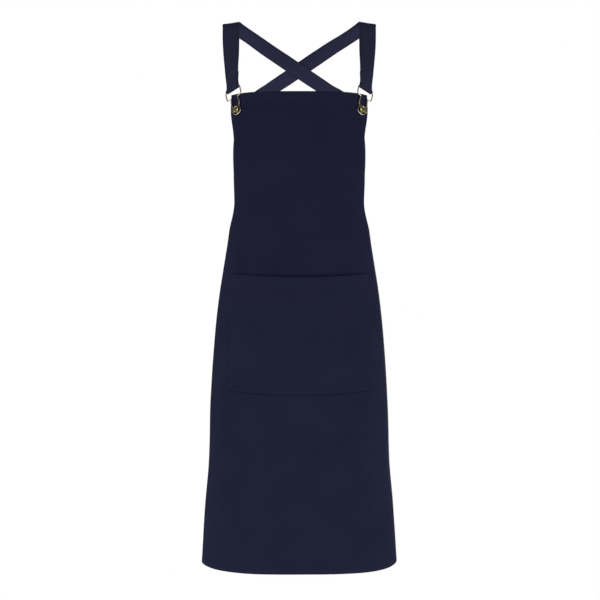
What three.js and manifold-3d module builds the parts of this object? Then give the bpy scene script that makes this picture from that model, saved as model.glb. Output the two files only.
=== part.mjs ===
// Cross back apron, worn: a one-piece bib and skirt, one patch pocket, two straps that cross
// behind, and two wire clips that hook on shank buttons. Millimetres, +Z up, the front faces -Y.
// The origin is where the straps lie on the shoulders.
import * as THREE from 'three';
import { mergeVertices } from 'three/addons/utils/BufferGeometryUtils.js';
import Module from 'manifold-3d';

const wasm = await Module();
wasm.setup();

// Driving sizes of the cloth
const apronLength = 862; // bib top to hem
const bibDrop = 149; // shoulder top down to the bib top
const bibLength = 191; // bib top down to where the armhole curve starts
const armholeDrop = 90; // armhole curve, from its start down to the waist corner
const bibHalfWidth = 132; // at the armhole, along the cloth
const waistHalfWidth = 325; // along the cloth, to the waist corner
const clothWall = 1.4;
const hemHalfWidth = 180; // the worn form at the hem, centre to side
const hemHalfDepth = 120; // the worn form at the hem, centre to front
const pieceGap = 0.3; // between two pieces that touch
const seamGap = 0.4; // between the pocket and the skirt, along its seams

// Driving sizes of the pocket
const pocketHalfWidth = 133;
const pocketHeight = 212;
const pocketDrop = 326; // bib top down to the ends of the mouth
const mouthSag = 7;
const pocketBottomSag = 6;
const mouthGape = 9; // how far the mouth stands off the skirt
const pocketWall = 1.2;

// Driving sizes of the straps
const strapWidth = 32;
const strapWall = 2;
const shoulderSpread = 128.6; // centre line of the apron to the middle of a strap
const strapReach = 122; // how far the straps stand back at the shoulder blades
const strapTail = 42; // the end that folds back behind the strap over the clip's bar
const strapSeat = 46; // stretch of the strap sewn inside the waist corner
const cornerMargin = 9; // strap edge to the side edge of the skirt
const crossRise = 1.2; // how much higher the outer strap lies where the two cross

// Driving sizes of the clips and buttons
const wireRadius = 1.1;
const loopHalfWidth = 17.6; // wide loop of the clip, to the middle of the wire
const clipRise = 45.3; // button stem to the bar that carries the strap
const clipTilt = THREE.MathUtils.degToRad(20);
const barGap = 0.8; // between the two wire ends that meet in the bar
const buttonAcross = 115.4; // centre line to the button, along the cloth
const buttonDrop = 33.6; // bib top down to the button
const stemRadius = 4;
const headRadius = 8.5;
const headWall = 2.2;
const headStandoff = 5.4; // cloth to the back of the button's head
const tackRadius = 4.8;
const tackWall = 1.2;
const buttonLean = THREE.MathUtils.degToRad(28);

// The worn form, from the bib top (down 0) to the hem (down 1): half width, half depth and the
// front line as shares of the hem's, and how square the section is
const formRows = [
  { down: 0.0, wide: 0.75, deep: 0.892, front: 0.892, square: 3.0 },
  { down: 0.04, wide: 0.764, deep: 0.9, front: 0.94, square: 3.0 },
  { down: 0.075, wide: 0.762, deep: 0.892, front: 0.968, square: 2.9 },
  { down: 0.115, wide: 0.744, deep: 0.867, front: 0.983, square: 2.8 },
  { down: 0.22, wide: 0.71, deep: 0.817, front: 0.95, square: 2.7 },
  { down: 0.26, wide: 0.707, deep: 0.808, front: 0.93, square: 2.7 },
  { down: 0.3, wide: 0.73, deep: 0.8, front: 0.918, square: 2.7 },
  { down: 0.345, wide: 0.764, deep: 0.817, front: 0.918, square: 2.7 },
  { down: 0.43, wide: 0.826, deep: 0.867, front: 0.942, square: 2.7 },
  { down: 0.54, wide: 0.877, deep: 0.917, front: 0.975, square: 2.7 },
  { down: 0.65, wide: 0.909, deep: 0.95, front: 0.992, square: 2.7 },
  { down: 0.785, wide: 0.927, deep: 0.967, front: 1.0, square: 2.7 },
  { down: 0.87, wide: 0.962, deep: 0.983, front: 1.008, square: 2.65 },
  { down: 1.0, wide: 1.0, deep: 1.0, front: 1.015, square: 2.68 },
];

// Half width of the bib along the cloth, as shares of its width at the armhole
const bibRows = [
  { down: 0.0, half: 1.03 },
  { down: 0.18, half: 1.022 },
  { down: 0.4, half: 0.965 },
  { down: 0.6, half: 0.977 },
  { down: 0.8, half: 1.0 },
  { down: 1.0, half: 1.0 },
];

// Route of a strap from its clip over the shoulder and down the back. Places are shares:
// side of shoulderSpread (minus is past the centre line), back of strapReach, down of waistDrop.
// The face columns say which way the strap's outer side looks.
const strapRows = [
  { side: 0.95, back: -0.5, down: 0.2837, faceOut: 0.66, faceBack: -0.75, faceUp: 0 },
  { side: 0.967, back: -0.385, down: 0.2186, faceOut: 0.52, faceBack: -0.85, faceUp: 0 },
  { side: 0.984, back: -0.262, down: 0.1488, faceOut: 0.31, faceBack: -0.95, faceUp: 0 },
  { side: 0.995, back: -0.139, down: 0.0771, faceOut: 0.13, faceBack: -0.94, faceUp: 0.3 },
  { side: 1.0, back: -0.049, down: 0.0238, faceOut: 0.09, faceBack: -0.7, faceUp: 0.7 },
  { side: 1.0, back: 0.037, down: 0.0002, faceOut: 0.07, faceBack: 0.02, faceUp: 0.99 },
  { side: 0.894, back: 0.23, down: 0.0165, faceOut: 0.08, faceBack: 0.45, faceUp: 0.88 },
  { side: 0.715, back: 0.352, down: 0.0455, faceOut: 0, faceBack: 0.53, faceUp: 0.85 },
  { side: 0.467, back: 0.516, down: 0.0863, faceOut: 0, faceBack: 0.6, faceUp: 0.8 },
  { side: 0.233, back: 0.675, down: 0.1237, faceOut: 0, faceBack: 0.65, faceUp: 0.76 },
  { side: 0.0, back: 0.83, down: 0.1614, faceOut: 0, faceBack: 0.65, faceUp: 0.76 },
  { side: -0.233, back: 0.975, down: 0.1995, faceOut: 0, faceBack: 0.65, faceUp: 0.76 },
  { side: -0.45, back: 1.075, down: 0.2366, faceOut: 0, faceBack: 0.62, faceUp: 0.785 },
  { side: -0.645, back: 1.11, down: 0.2727, faceOut: -0.03, faceBack: 0.71, faceUp: 0.7 },
  { side: -0.8, back: 1.08, down: 0.343, faceOut: -0.12, faceBack: 0.9, faceUp: 0.42 },
  { side: -0.895, back: 0.995, down: 0.467, faceOut: -0.2, faceBack: 0.96, faceUp: 0.15 },
  { side: -0.893, back: 0.88, down: 0.63, faceOut: -0.2, faceBack: 0.98, faceUp: -0.02 },
  { side: -0.818, back: 0.755, down: 0.795, faceOut: -0.15, faceBack: 0.98, faceUp: -0.08 },
];
const crossingRow = 10; // the row of strapRows where the straps cross

// Half outline of a clip's wire, from the bar round to the foot of the keyhole: out is a share of
// loopHalfWidth, up of clipRise, foot of the drop from the stem to the wire below it
const clipRows = [
  { out: 0.5, up: 1, foot: 0 },
  { out: 0.89, up: 1, foot: 0 },
  { out: 0.965, up: 0.985, foot: 0 },
  { out: 0.995, up: 0.948, foot: 0 },
  { out: 1, up: 0.847, foot: 0 },
  { out: 0.99, up: 0.742, foot: 0 },
  { out: 0.945, up: 0.665, foot: 0 },
  { out: 0.85, up: 0.627, foot: 0 },
  { out: 0.7, up: 0.619, foot: 0 },
  { out: 0.53, up: 0.617, foot: 0 },
  { out: 0.46, up: 0.589, foot: 0 },
  { out: 0.5, up: 0.503, foot: 0 },
  { out: 0.535, up: 0.407, foot: 0 },
  { out: 0.51, up: 0.316, foot: 0 },
  { out: 0.42, up: 0.225, foot: 0 },
  { out: 0.41, up: 0.165, foot: 0 },
  { out: 0.47, up: 0.09, foot: 0 },
  { out: 0.48, up: 0.02, foot: 0 },
  { out: 0.43, up: 0, foot: 0.4 },
  { out: 0.25, up: 0, foot: 0.88 },
];

// Number of faces
const bibColumns = 11; // centre to the side of the bib
const wingColumns = 12; // side of the bib to the side of the skirt
const bibRowCount = 7;
const skirtRowCount = 14;
const pocketRowCount = 8;
const formSteps = 160;
const strapColumns = 2;
const strapSteps = 3; // between two rows of the route
const foldSteps = 6; // round the clip's bar
const wireSides = 8;
const wireSteps = 66;
const turnSides = 20;
const samePoint = 1e-4; // points nearer than this are one point

const bibTop = -bibDrop;
const hemLevel = bibTop - apronLength;
const armholeTop = bibTop - bibLength;
const waistDrop = armholeDrop - armholeTop; // shoulder top down to the waist corners
const wireHeight = pieceGap + wireRadius;

// A value from a table, smooth between its rows
function tableValue(rows, column, down) {
  const last = rows.length - 1;
  let i = 0;
  while (i < last - 1 && rows[i + 1].down < down) {
    i += 1;
  }
  const slope = (k) => {
    const before = rows[Math.max(k - 1, 0)];
    const after = rows[Math.min(k + 1, last)];
    return (after[column] - before[column]) / (after.down - before.down);
  };
  const width = rows[i + 1].down - rows[i].down;
  const t = THREE.MathUtils.clamp((down - rows[i].down) / width, 0, 1);
  const rise = rows[i + 1][column] - rows[i][column];
  const start = slope(i) * width;
  const end = slope(i + 1) * width;
  const cubic = start + end - 2 * rise;
  const square = 3 * rise - 2 * start - end;
  return rows[i][column] + t * (start + t * (square + t * cubic));
}

// One level of the worn form: its outline from the front to the back, with lengths along it
const levels = new Map();
function formLevel(z) {
  if (!levels.has(z)) {
    const down = (bibTop - z) / apronLength;
    const a = hemHalfWidth * tableValue(formRows, 'wide', down);
    const b = hemHalfDepth * tableValue(formRows, 'deep', down);
    const middle = b - hemHalfDepth * tableValue(formRows, 'front', down);
    const n = tableValue(formRows, 'square', down);
    const steps = [];
    let length = 0;
    for (let k = 0; k <= formSteps; k += 1) {
      const turn = (Math.PI * k) / formSteps;
      const sin = Math.abs(Math.sin(turn));
      const cos = Math.cos(turn);
      const radius = ((sin / a) ** n + (Math.abs(cos) / b) ** n) ** (-1 / n);
      const x = radius * sin;
      const y = middle - radius * cos;
      if (k > 0) {
        length += Math.hypot(x - steps[k - 1].x, y - steps[k - 1].y);
      }
      steps.push({ x, y, length });
    }
    levels.set(z, steps);
  }
  return levels.get(z);
}

// A point at a length round the worn form from the front, at height z, moved outwards
function onForm(along, z, outwards) {
  const steps = formLevel(z);
  const side = along < 0 ? -1 : 1;
  const length = Math.abs(along);
  let k = 1;
  while (k < formSteps && steps[k].length < length) {
    k += 1;
  }
  const from = steps[k - 1];
  const to = steps[k];
  const share = (length - from.length) / (to.length - from.length);
  const point = (i) => new THREE.Vector2(steps[i].x, steps[i].y);
  const before = k > 1 ? point(k - 2) : point(1).multiply(new THREE.Vector2(-1, 1));
  const after = k < formSteps ? point(k + 1) : point(k - 1).multiply(new THREE.Vector2(-1, 1));
  const fromWay = point(k).sub(before).normalize();
  const toWay = after.sub(point(k - 1)).normalize();
  const way = fromWay.lerp(toWay, share).normalize();
  const x = THREE.MathUtils.lerp(from.x, to.x, share) + way.y * outwards;
  const y = THREE.MathUtils.lerp(from.y, to.y, share) - way.x * outwards;
  return new THREE.Vector3(side * x, y, z);
}

// Frame on the outside of the cloth: place, way along the cloth, way up and way out
function clothFrame(along, z) {
  const step = 1;
  const place = onForm(along, z, clothWall);
  const sideways = onForm(along + step, z, clothWall).sub(onForm(along - step, z, clothWall)).normalize();
  const up = onForm(along, z + step, clothWall).sub(onForm(along, z - step, clothWall)).normalize();
  const out = new THREE.Vector3().crossVectors(sideways, up).normalize();
  return { place, sideways, up: new THREE.Vector3().crossVectors(out, sideways), out };
}

// A wall of cloth from two grids of points, outside and inside, with its edges closed.
// has(row, column) says which cells of the grid are cloth.
function clothGeometry(outside, inside, has) {
  const rows = outside.length;
  const columns = outside[0].length;
  const positions = [...outside.flat(), ...inside.flat()].flatMap((p) => [p.x, p.y, p.z]);
  const layer = rows * columns;
  const index = [];
  const edges = new Map();
  const addEdge = (a, b) => {
    if (edges.has(`${b},${a}`)) {
      edges.delete(`${b},${a}`);
    } else {
      edges.set(`${a},${b}`, [a, b]);
    }
  };
  for (let r = 0; r + 1 < rows; r += 1) {
    for (let c = 0; c + 1 < columns; c += 1) {
      if (has(r, c)) {
        const upLeft = r * columns + c;
        const downLeft = upLeft + columns;
        index.push(upLeft, downLeft, upLeft + 1, upLeft + 1, downLeft, downLeft + 1);
        index.push(layer + upLeft, layer + upLeft + 1, layer + downLeft);
        index.push(layer + upLeft + 1, layer + downLeft + 1, layer + downLeft);
        addEdge(upLeft, downLeft);
        addEdge(downLeft, downLeft + 1);
        addEdge(downLeft + 1, upLeft + 1);
        addEdge(upLeft + 1, upLeft);
      }
    }
  }
  for (const [a, b] of edges.values()) {
    index.push(b, a, layer + a, b, layer + a, layer + b);
  }
  const geometry = new THREE.BufferGeometry();
  geometry.setAttribute('position', new THREE.Float32BufferAttribute(positions, 3));
  geometry.setIndex(index);
  return keepUsed(geometry);
}

// The same geometry without the points that no face uses
function keepUsed(geometry) {
  const used = mergeVertices(geometry.toNonIndexed(), samePoint);
  used.computeVertexNormals();
  return used;
}

// A closed geometry as a manifold solid, and back
function toSolid(geometry) {
  const bare = geometry.clone();
  bare.deleteAttribute('normal');
  bare.deleteAttribute('uv');
  const merged = mergeVertices(bare, samePoint);
  return new wasm.Manifold(new wasm.Mesh({
    numProp: 3,
    vertProperties: new Float32Array(merged.attributes.position.array),
    triVerts: new Uint32Array(merged.index.array),
  }));
}

function fromSolid(solid) {
  const mesh = solid.getMesh();
  const geometry = new THREE.BufferGeometry();
  geometry.setAttribute('position', new THREE.BufferAttribute(mesh.vertProperties, 3));
  geometry.setIndex(new THREE.BufferAttribute(mesh.triVerts, 1));
  geometry.computeVertexNormals();
  return geometry;
}

// Half width of the bib along the cloth at a height
function bibHalf(z) {
  const down = THREE.MathUtils.clamp((bibTop - z) / bibLength, 0, 1);
  return bibHalfWidth * tableValue(bibRows, 'half', down);
}

// Height of the armhole edge at a length along the cloth: a quarter of an ellipse
function armholeLevel(along) {
  const share = (waistHalfWidth - Math.abs(along)) / (waistHalfWidth - bibHalfWidth);
  const inside = THREE.MathUtils.clamp(share, 0, 1);
  return armholeTop - armholeDrop * Math.sqrt(1 - inside * inside);
}

// Lengths on both sides of the centre line, from the left to the right
function mirrored(half) {
  return [...half.map((along) => -along).reverse(), 0, ...half];
}

// Columns of the skirt along the cloth, from the left side edge to the right one
function skirtColumns() {
  const half = [];
  for (let c = 1; c <= bibColumns; c += 1) {
    half.push((bibHalfWidth * c) / bibColumns);
  }
  for (let c = 1; c <= wingColumns; c += 1) {
    half.push(bibHalfWidth + ((waistHalfWidth - bibHalfWidth) * c) / wingColumns);
  }
  return mirrored(half);
}

// Height of a row of the skirt in the column at this length along the cloth
function skirtLevel(along, row) {
  const top = Math.abs(along) > bibHalfWidth ? armholeLevel(along) : armholeTop;
  return THREE.MathUtils.lerp(top, hemLevel, row / skirtRowCount);
}

// A point on one of the skirt's columns, moved outwards
function onColumn(along, z, outwards) {
  let row = 1;
  while (row < skirtRowCount && skirtLevel(along, row) > z) {
    row += 1;
  }
  const above = skirtLevel(along, row - 1);
  const below = skirtLevel(along, row);
  const share = (z - above) / (below - above);
  return onForm(along, above, outwards).lerp(onForm(along, below, outwards), share);
}

// A point on the skirt's flat faces, moved outwards
function onSkirt(along, z, outwards) {
  const columns = skirtColumns();
  let c = 1;
  while (c < columns.length - 1 && columns[c] < along) {
    c += 1;
  }
  const share = (along - columns[c - 1]) / (columns[c] - columns[c - 1]);
  return onColumn(columns[c - 1], z, outwards).lerp(onColumn(columns[c], z, outwards), share);
}

function apronPanel() {
  const columns = skirtColumns();
  const firstBib = wingColumns;
  const layer = (outwards) => {
    const grid = [];
    for (let r = 0; r < bibRowCount; r += 1) {
      const z = THREE.MathUtils.lerp(bibTop, armholeTop, r / bibRowCount);
      const stretch = bibHalf(z) / bibHalfWidth;
      const inner = (along) => THREE.MathUtils.clamp(along, -bibHalfWidth, bibHalfWidth);
      grid.push(columns.map((along) => onForm(inner(along) * stretch, z, outwards)));
    }
    for (let r = 0; r <= skirtRowCount; r += 1) {
      grid.push(columns.map((along) => onForm(along, skirtLevel(along, r), outwards)));
    }
    return grid;
  };
  const inBib = (column) => column >= firstBib && column < firstBib + 2 * bibColumns;
  const has = (row, column) => row >= bibRowCount || inBib(column);
  return clothGeometry(layer(clothWall), layer(0), has);
}

// The patch pocket: seated along its sides and bottom, and standing off the skirt at its mouth
function pocketGeometry() {
  const narrowest = 3; // a column nearer than this to the pocket's side is left out
  const inner = skirtColumns().filter((along) => along > 0 && along < pocketHalfWidth - narrowest);
  const columns = mirrored([...inner, pocketHalfWidth]);
  const gapeSkew = 0.2; // the mouth gapes a little more on one side
  const sideFlatness = 4; // power by which the mouth's gape runs level and then falls to its ends
  const gapeFade = 1.6; // power by which the gape closes down the pocket
  const mouth = bibTop - pocketDrop;
  const layer = (outwards) => {
    const grid = [];
    for (let r = 0; r <= pocketRowCount; r += 1) {
      const down = r / pocketRowCount;
      grid.push(columns.map((along) => {
        const across = along / pocketHalfWidth;
        const sag = (1 - across * across) * THREE.MathUtils.lerp(mouthSag, pocketBottomSag, down);
        const z = mouth - pocketHeight * down - sag;
        const open = (1 - across ** sideFlatness) * (1 + gapeSkew * across) * (1 - down) ** gapeFade;
        return onSkirt(along, z, clothWall + seamGap + mouthGape * open + outwards);
      }));
    }
    return grid;
  };
  return clothGeometry(layer(pocketWall), layer(0), () => true);
}

// Frame of a clip at its button's stem: bar way, rise way and out, on the side -1 or 1
function clipFrame(side) {
  const cloth = clothFrame(side * buttonAcross, bibTop - buttonDrop);
  const inwards = cloth.sideways.clone().multiplyScalar(-side);
  const bar = inwards.multiplyScalar(Math.cos(clipTilt)).addScaledVector(cloth.up, Math.sin(clipTilt));
  const rise = new THREE.Vector3().crossVectors(cloth.out, bar).multiplyScalar(-side).normalize();
  return { cloth, bar, rise, out: cloth.out };
}

function inClip(frame, across, up, outwards) {
  return frame.cloth.place.clone()
    .addScaledVector(frame.bar, across)
    .addScaledVector(frame.rise, up)
    .addScaledVector(frame.out, outwards);
}

function clipGeometry(side) {
  const frame = clipFrame(side);
  const footDrop = stemRadius + pieceGap + wireRadius;
  const half = clipRows.map((row) => [row.out * loopHalfWidth, row.up * clipRise - row.foot * footDrop]);
  const outline = [
    [barGap / 2, clipRise],
    ...half,
    [0, -footDrop],
    ...half.map(([across, up]) => [-across, up]).reverse(),
    [-barGap / 2, clipRise],
  ];
  const points = outline.map(([across, up]) => inClip(frame, across, up, wireHeight));
  const path = new THREE.CatmullRomCurve3(points, false, 'centripetal');
  const section = new THREE.Shape();
  for (let k = 0; k < wireSides; k += 1) {
    const turn = (2 * Math.PI * (k + 0.5)) / wireSides;
    const corner = [wireRadius * Math.cos(turn), wireRadius * Math.sin(turn)];
    if (k === 0) {
      section.moveTo(...corner);
    } else {
      section.lineTo(...corner);
    }
  }
  section.closePath();
  return new THREE.ExtrudeGeometry(section, { steps: wireSteps, extrudePath: path });
}

// Way that a button's stem stands: out of the cloth, leaning along the pull of the clip
function stemWay(frame) {
  return frame.out.clone().multiplyScalar(Math.cos(buttonLean))
    .addScaledVector(frame.rise, Math.sin(buttonLean)).normalize();
}

function turnOnto(geometry, frame) {
  const turn = new THREE.Quaternion().setFromUnitVectors(new THREE.Vector3(0, 1, 0), stemWay(frame));
  geometry.applyQuaternion(turn);
  geometry.translate(...frame.cloth.place.toArray());
  return geometry;
}

// Turned profile of a button: tack disc behind the cloth, stem, and a head with two plain rings
function buttonGeometry(side) {
  const curveRoom = 0.8; // what the cloth curves under the flat tack
  const backOfCloth = clothWall / Math.cos(buttonLean) + tackRadius * Math.tan(buttonLean);
  const behind = -backOfCloth - pieceGap - curveRoom;
  const front = headStandoff + headWall;
  const rim = 0.5; // rounding of the head's edge
  const ring = 0.6; // depth of the face inside the outer ring
  const [ringInside, ringFoot, bossFoot, bossTop] = [0.76, 0.68, 0.42, 0.3]; // shares of headRadius
  const profile = [
    [0, behind - tackWall],
    [tackRadius - rim, behind - tackWall],
    [tackRadius, behind - tackWall + rim],
    [tackRadius, behind],
    [stemRadius, behind],
    [stemRadius, headStandoff],
    [headRadius - rim, headStandoff],
    [headRadius, headStandoff + rim],
    [headRadius, front - rim],
    [headRadius - rim, front],
    [headRadius * ringInside, front],
    [headRadius * ringFoot, front - ring],
    [headRadius * bossFoot, front - ring],
    [headRadius * bossTop, front - ring / 2],
    [0, front - ring / 3],
  ].map(([radius, height]) => new THREE.Vector2(radius, height));
  return turnOnto(new THREE.LatheGeometry(profile, turnSides), clipFrame(side));
}

// Hole for a button's stem through the cloth
function stemHole(side) {
  const length = 2 * (headStandoff + clothWall); // well past both faces of the cloth
  const hole = new THREE.CylinderGeometry(stemRadius + pieceGap, stemRadius + pieceGap, length, turnSides);
  return toSolid(turnOnto(hole, clipFrame(side)));
}

// Stations of a strap's route: place, way along, way across and way out
function strapRoute(side) {
  const clip = clipFrame(side);
  const along = -side * (waistHalfWidth - cornerMargin - strapWidth / 2);
  const seatTop = armholeLevel(along);
  const inside = -(2 * pieceGap + strapWall / 2);
  const approachShare = 0.35; // where the strap starts to lie along the skirt, as a share of its seat
  const crossLift = (side * (strapWall + 2 * pieceGap)) / 2;
  const crossReach = 2; // rows of the route on each side of the crossing
  const stations = [{ place: inClip(clip, 0, clipRise, wireHeight), face: clip.out }];
  strapRows.forEach((row, i) => {
    const face = new THREE.Vector3(side * row.faceOut, row.faceBack, row.faceUp).normalize();
    const place = new THREE.Vector3(
      side * row.side * shoulderSpread,
      row.back * strapReach,
      -row.down * waistDrop + strapWall / 2,
    );
    if (Math.abs(i - crossingRow) <= crossReach) {
      place.addScaledVector(face, crossLift);
      place.addScaledVector(new THREE.Vector3(0, -face.z, face.y), side > 0 ? crossRise : 0);
    }
    stations.push({ place, face });
  });
  for (const share of [-approachShare, 0, 0.5, 1]) {
    const z = seatTop - strapSeat * share;
    const face = onForm(along, z, 1).sub(onForm(along, z, 0));
    stations.push({ place: onForm(along, z, inside), face, seated: share >= 0 });
  }
  const curve = new THREE.CatmullRomCurve3(stations.map((station) => station.place), false, 'centripetal');
  const last = stations.length - 1;
  const frames = [];
  let length = 0;
  for (let k = 0; k <= last * strapSteps; k += 1) {
    const t = k / (last * strapSteps);
    const i = Math.min(Math.floor(k / strapSteps), last - 1);
    const face = stations[i].face.clone().lerp(stations[i + 1].face, k / strapSteps - i);
    const place = curve.getPoint(t);
    const way = curve.getTangent(t);
    const across = new THREE.Vector3().crossVectors(way, face).normalize();
    if (k > 0) {
      length += place.distanceTo(frames[k - 1].place);
    }
    const out = new THREE.Vector3().crossVectors(across, way);
    const seat = stations[i].seated ? { along, z: place.z, inside } : null;
    frames.push({ place, way, across, out, length, seat });
  }
  frames[0].across = clip.bar.clone().multiplyScalar(-side);
  return frames;
}

// A strap: its tail behind the bar, the fold round the bar, and the run to the waist corner
function strapGeometry(side) {
  const frames = strapRoute(side);
  const foldRadius = wireRadius + pieceGap + strapWall / 2;
  const layerLift = (strapWall + pieceGap) / 2;
  const settle = 16; // distance from the bar where the tail and the strap lie together
  const foldNarrowing = 0.12; // share of its width that the strap is drawn in at the fold
  const release = 2 * strapTail; // distance from the bar where the strap is back on its route
  const lift = (length) => {
    const near = THREE.MathUtils.lerp(foldRadius, layerLift, THREE.MathUtils.smoothstep(length, 0, settle));
    return near * (1 - THREE.MathUtils.smoothstep(length, strapTail, release));
  };
  const tail = frames.filter((frame) => frame.length > 0 && frame.length <= strapTail).reverse();
  const stations = tail.map((frame) => ({ ...frame, out: frame.out.clone().negate() }));
  const bar = frames[0];
  for (let k = 0; k <= foldSteps; k += 1) {
    const turn = (Math.PI * k) / foldSteps;
    const out = bar.out.clone().multiplyScalar(-Math.cos(turn)).addScaledVector(bar.way, -Math.sin(turn));
    stations.push({ ...bar, out });
  }
  stations.push(...frames.slice(1));
  const lifted = stations.map((station) => lift(station.length));
  const layer = (outwards) => stations.map((station, r) => {
    const row = [];
    for (let c = 0; c <= strapColumns; c += 1) {
      const narrowed = foldNarrowing * (1 - THREE.MathUtils.smoothstep(station.length, 0, settle));
      const offset = (c / strapColumns - 0.5) * strapWidth * (1 - narrowed);
      const flat = station.place.clone()
        .addScaledVector(station.across, offset)
        .addScaledVector(station.out, lifted[r] + outwards);
      const { seat } = station;
      row.push(seat ? onSkirt(seat.along - offset, seat.z, seat.inside + outwards) : flat);
    }
    return row;
  });
  return clothGeometry(layer(-strapWall / 2), layer(strapWall / 2), () => true);
}

const cloth = new THREE.MeshStandardMaterial({ color: 0x1f2136, roughness: 0.92, metalness: 0 });
const strapCloth = new THREE.MeshStandardMaterial({ color: 0x23253a, roughness: 0.92, metalness: 0 });
const brass = new THREE.MeshStandardMaterial({ color: 0x8f8152, roughness: 0.42, metalness: 1 });

function named(name, geometry, material) {
  const mesh = new THREE.Mesh(geometry, material);
  mesh.name = name;
  return mesh;
}

const apron = new THREE.Group();
const pierced = toSolid(apronPanel()).subtract(stemHole(-1)).subtract(stemHole(1));
apron.add(named('apron_panel', fromSolid(pierced), cloth));
apron.add(named('pocket', pocketGeometry(), cloth));
for (const [word, side] of [['left', -1], ['right', 1]]) {
  apron.add(named(`${word}_strap`, strapGeometry(side), strapCloth));
  apron.add(named(`${word}_clip`, clipGeometry(side), brass));
  apron.add(named(`${word}_button`, buttonGeometry(side), brass));
}

export default apron;
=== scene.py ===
"""Cross back apron, dressed for the render.

Metres, +Z up, the front faces -Y, and the origin lies where the straps rest on the shoulders. The
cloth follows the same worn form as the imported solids. A place on it is given by the length round
the form from the centre line, called along, and by its height z.
"""

from __future__ import annotations

import logging
import math
from collections.abc import Callable, Sequence
from dataclasses import dataclass, field, fields
from enum import Enum

import bmesh
import bpy
import numpy as np
from mathutils import Matrix, Vector, noise

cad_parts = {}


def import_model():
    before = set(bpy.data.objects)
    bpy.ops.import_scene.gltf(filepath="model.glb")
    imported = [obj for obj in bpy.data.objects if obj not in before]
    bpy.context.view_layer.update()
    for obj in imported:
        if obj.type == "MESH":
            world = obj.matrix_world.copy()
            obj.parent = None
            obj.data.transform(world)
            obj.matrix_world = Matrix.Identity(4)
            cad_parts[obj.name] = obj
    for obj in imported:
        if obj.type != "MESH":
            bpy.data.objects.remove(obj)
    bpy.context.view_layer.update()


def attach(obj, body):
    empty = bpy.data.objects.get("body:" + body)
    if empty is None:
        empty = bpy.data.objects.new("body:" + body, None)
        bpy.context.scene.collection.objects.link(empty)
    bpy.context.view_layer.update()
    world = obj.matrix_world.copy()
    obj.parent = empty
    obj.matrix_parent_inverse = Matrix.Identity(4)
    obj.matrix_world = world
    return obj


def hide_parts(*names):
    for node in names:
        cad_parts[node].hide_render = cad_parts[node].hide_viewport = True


LOG = logging.getLogger("apron")
CLOTH_UV = "cloth"
WEAR = "wear"
# Attribute of painted shade: a factor on the cloth's colour that stands in for shade and light.
PAINTED_SHADE = "shade"
Array = np.ndarray
Colour = tuple[float, float, float]


class Slot(Enum):
    """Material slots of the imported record."""

    NAVY = "navy_cloth"
    STRAP = "strap_cloth"
    BRASS = "antique_brass"


class Side(Enum):
    """The two sides of the apron, as the front view shows them."""

    LEFT = -1
    RIGHT = 1

    @property
    def word(self) -> str:
        """The side's plain name, for the names of its pieces."""
        return self.name.lower()


@dataclass(frozen=True)
class FormRow:
    """One level of the worn form, as shares of the hem's half width and half depth."""

    down: float
    wide: float
    deep: float
    front: float
    square: float


@dataclass(frozen=True)
class BibRow:
    """Half width of the bib at a level, as a share of its width at the armhole."""

    down: float
    half: float


@dataclass(frozen=True)
class StrapRow:
    """A place on a strap's route, as shares of its named sizes, and the way its face looks."""

    side: float
    back: float
    down: float
    face_out: float
    face_back: float
    face_up: float


@dataclass(frozen=True)
class ClipRow:
    """A point of the clip's half outline: out, up and foot are shares of the clip's sizes."""

    out: float
    up: float
    foot: float


@dataclass(frozen=True)
class FoldRow:
    """A soft fold of the skirt: where it runs, how far it leans, and how wide and deep it is."""

    along: float
    lean: float
    width: float
    depth: float
    top: float
    bottom: float


@dataclass(frozen=True)
class StitchRing:
    """A ring round a stitch: its place along it, and its thickness and rise as shares of the radius."""

    place: float
    thick: float
    rise: float


@dataclass(frozen=True)
class FaceStep:
    """A step of the button's face, from its edge inwards: how far it goes in, and how far up."""

    inset: float
    rise: float


@dataclass(frozen=True)
class Lamp:
    """A soft square light: where it stands, the length of its side and its power in watts."""

    name: str
    place: tuple[float, float, float]
    size: float
    power: float


FORM_ROWS = (
    FormRow(0.0, 0.75, 0.892, 0.892, 3.0),
    FormRow(0.04, 0.764, 0.9, 0.94, 3.0),
    FormRow(0.075, 0.762, 0.892, 0.968, 2.9),
    FormRow(0.115, 0.744, 0.867, 0.983, 2.8),
    FormRow(0.22, 0.71, 0.817, 0.95, 2.7),
    FormRow(0.26, 0.707, 0.808, 0.93, 2.7),
    FormRow(0.3, 0.73, 0.8, 0.918, 2.7),
    FormRow(0.345, 0.764, 0.817, 0.918, 2.7),
    FormRow(0.43, 0.826, 0.867, 0.942, 2.7),
    FormRow(0.54, 0.877, 0.917, 0.975, 2.7),
    FormRow(0.65, 0.909, 0.95, 0.992, 2.7),
    FormRow(0.785, 0.927, 0.967, 1.0, 2.7),
    FormRow(0.87, 0.962, 0.983, 1.008, 2.65),
    FormRow(1.0, 1.0, 1.0, 1.015, 2.68),
)

BIB_ROWS = (
    BibRow(0.0, 1.03),
    BibRow(0.18, 1.022),
    BibRow(0.4, 0.965),
    BibRow(0.6, 0.977),
    BibRow(0.8, 1.0),
    BibRow(1.0, 1.0),
)

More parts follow.
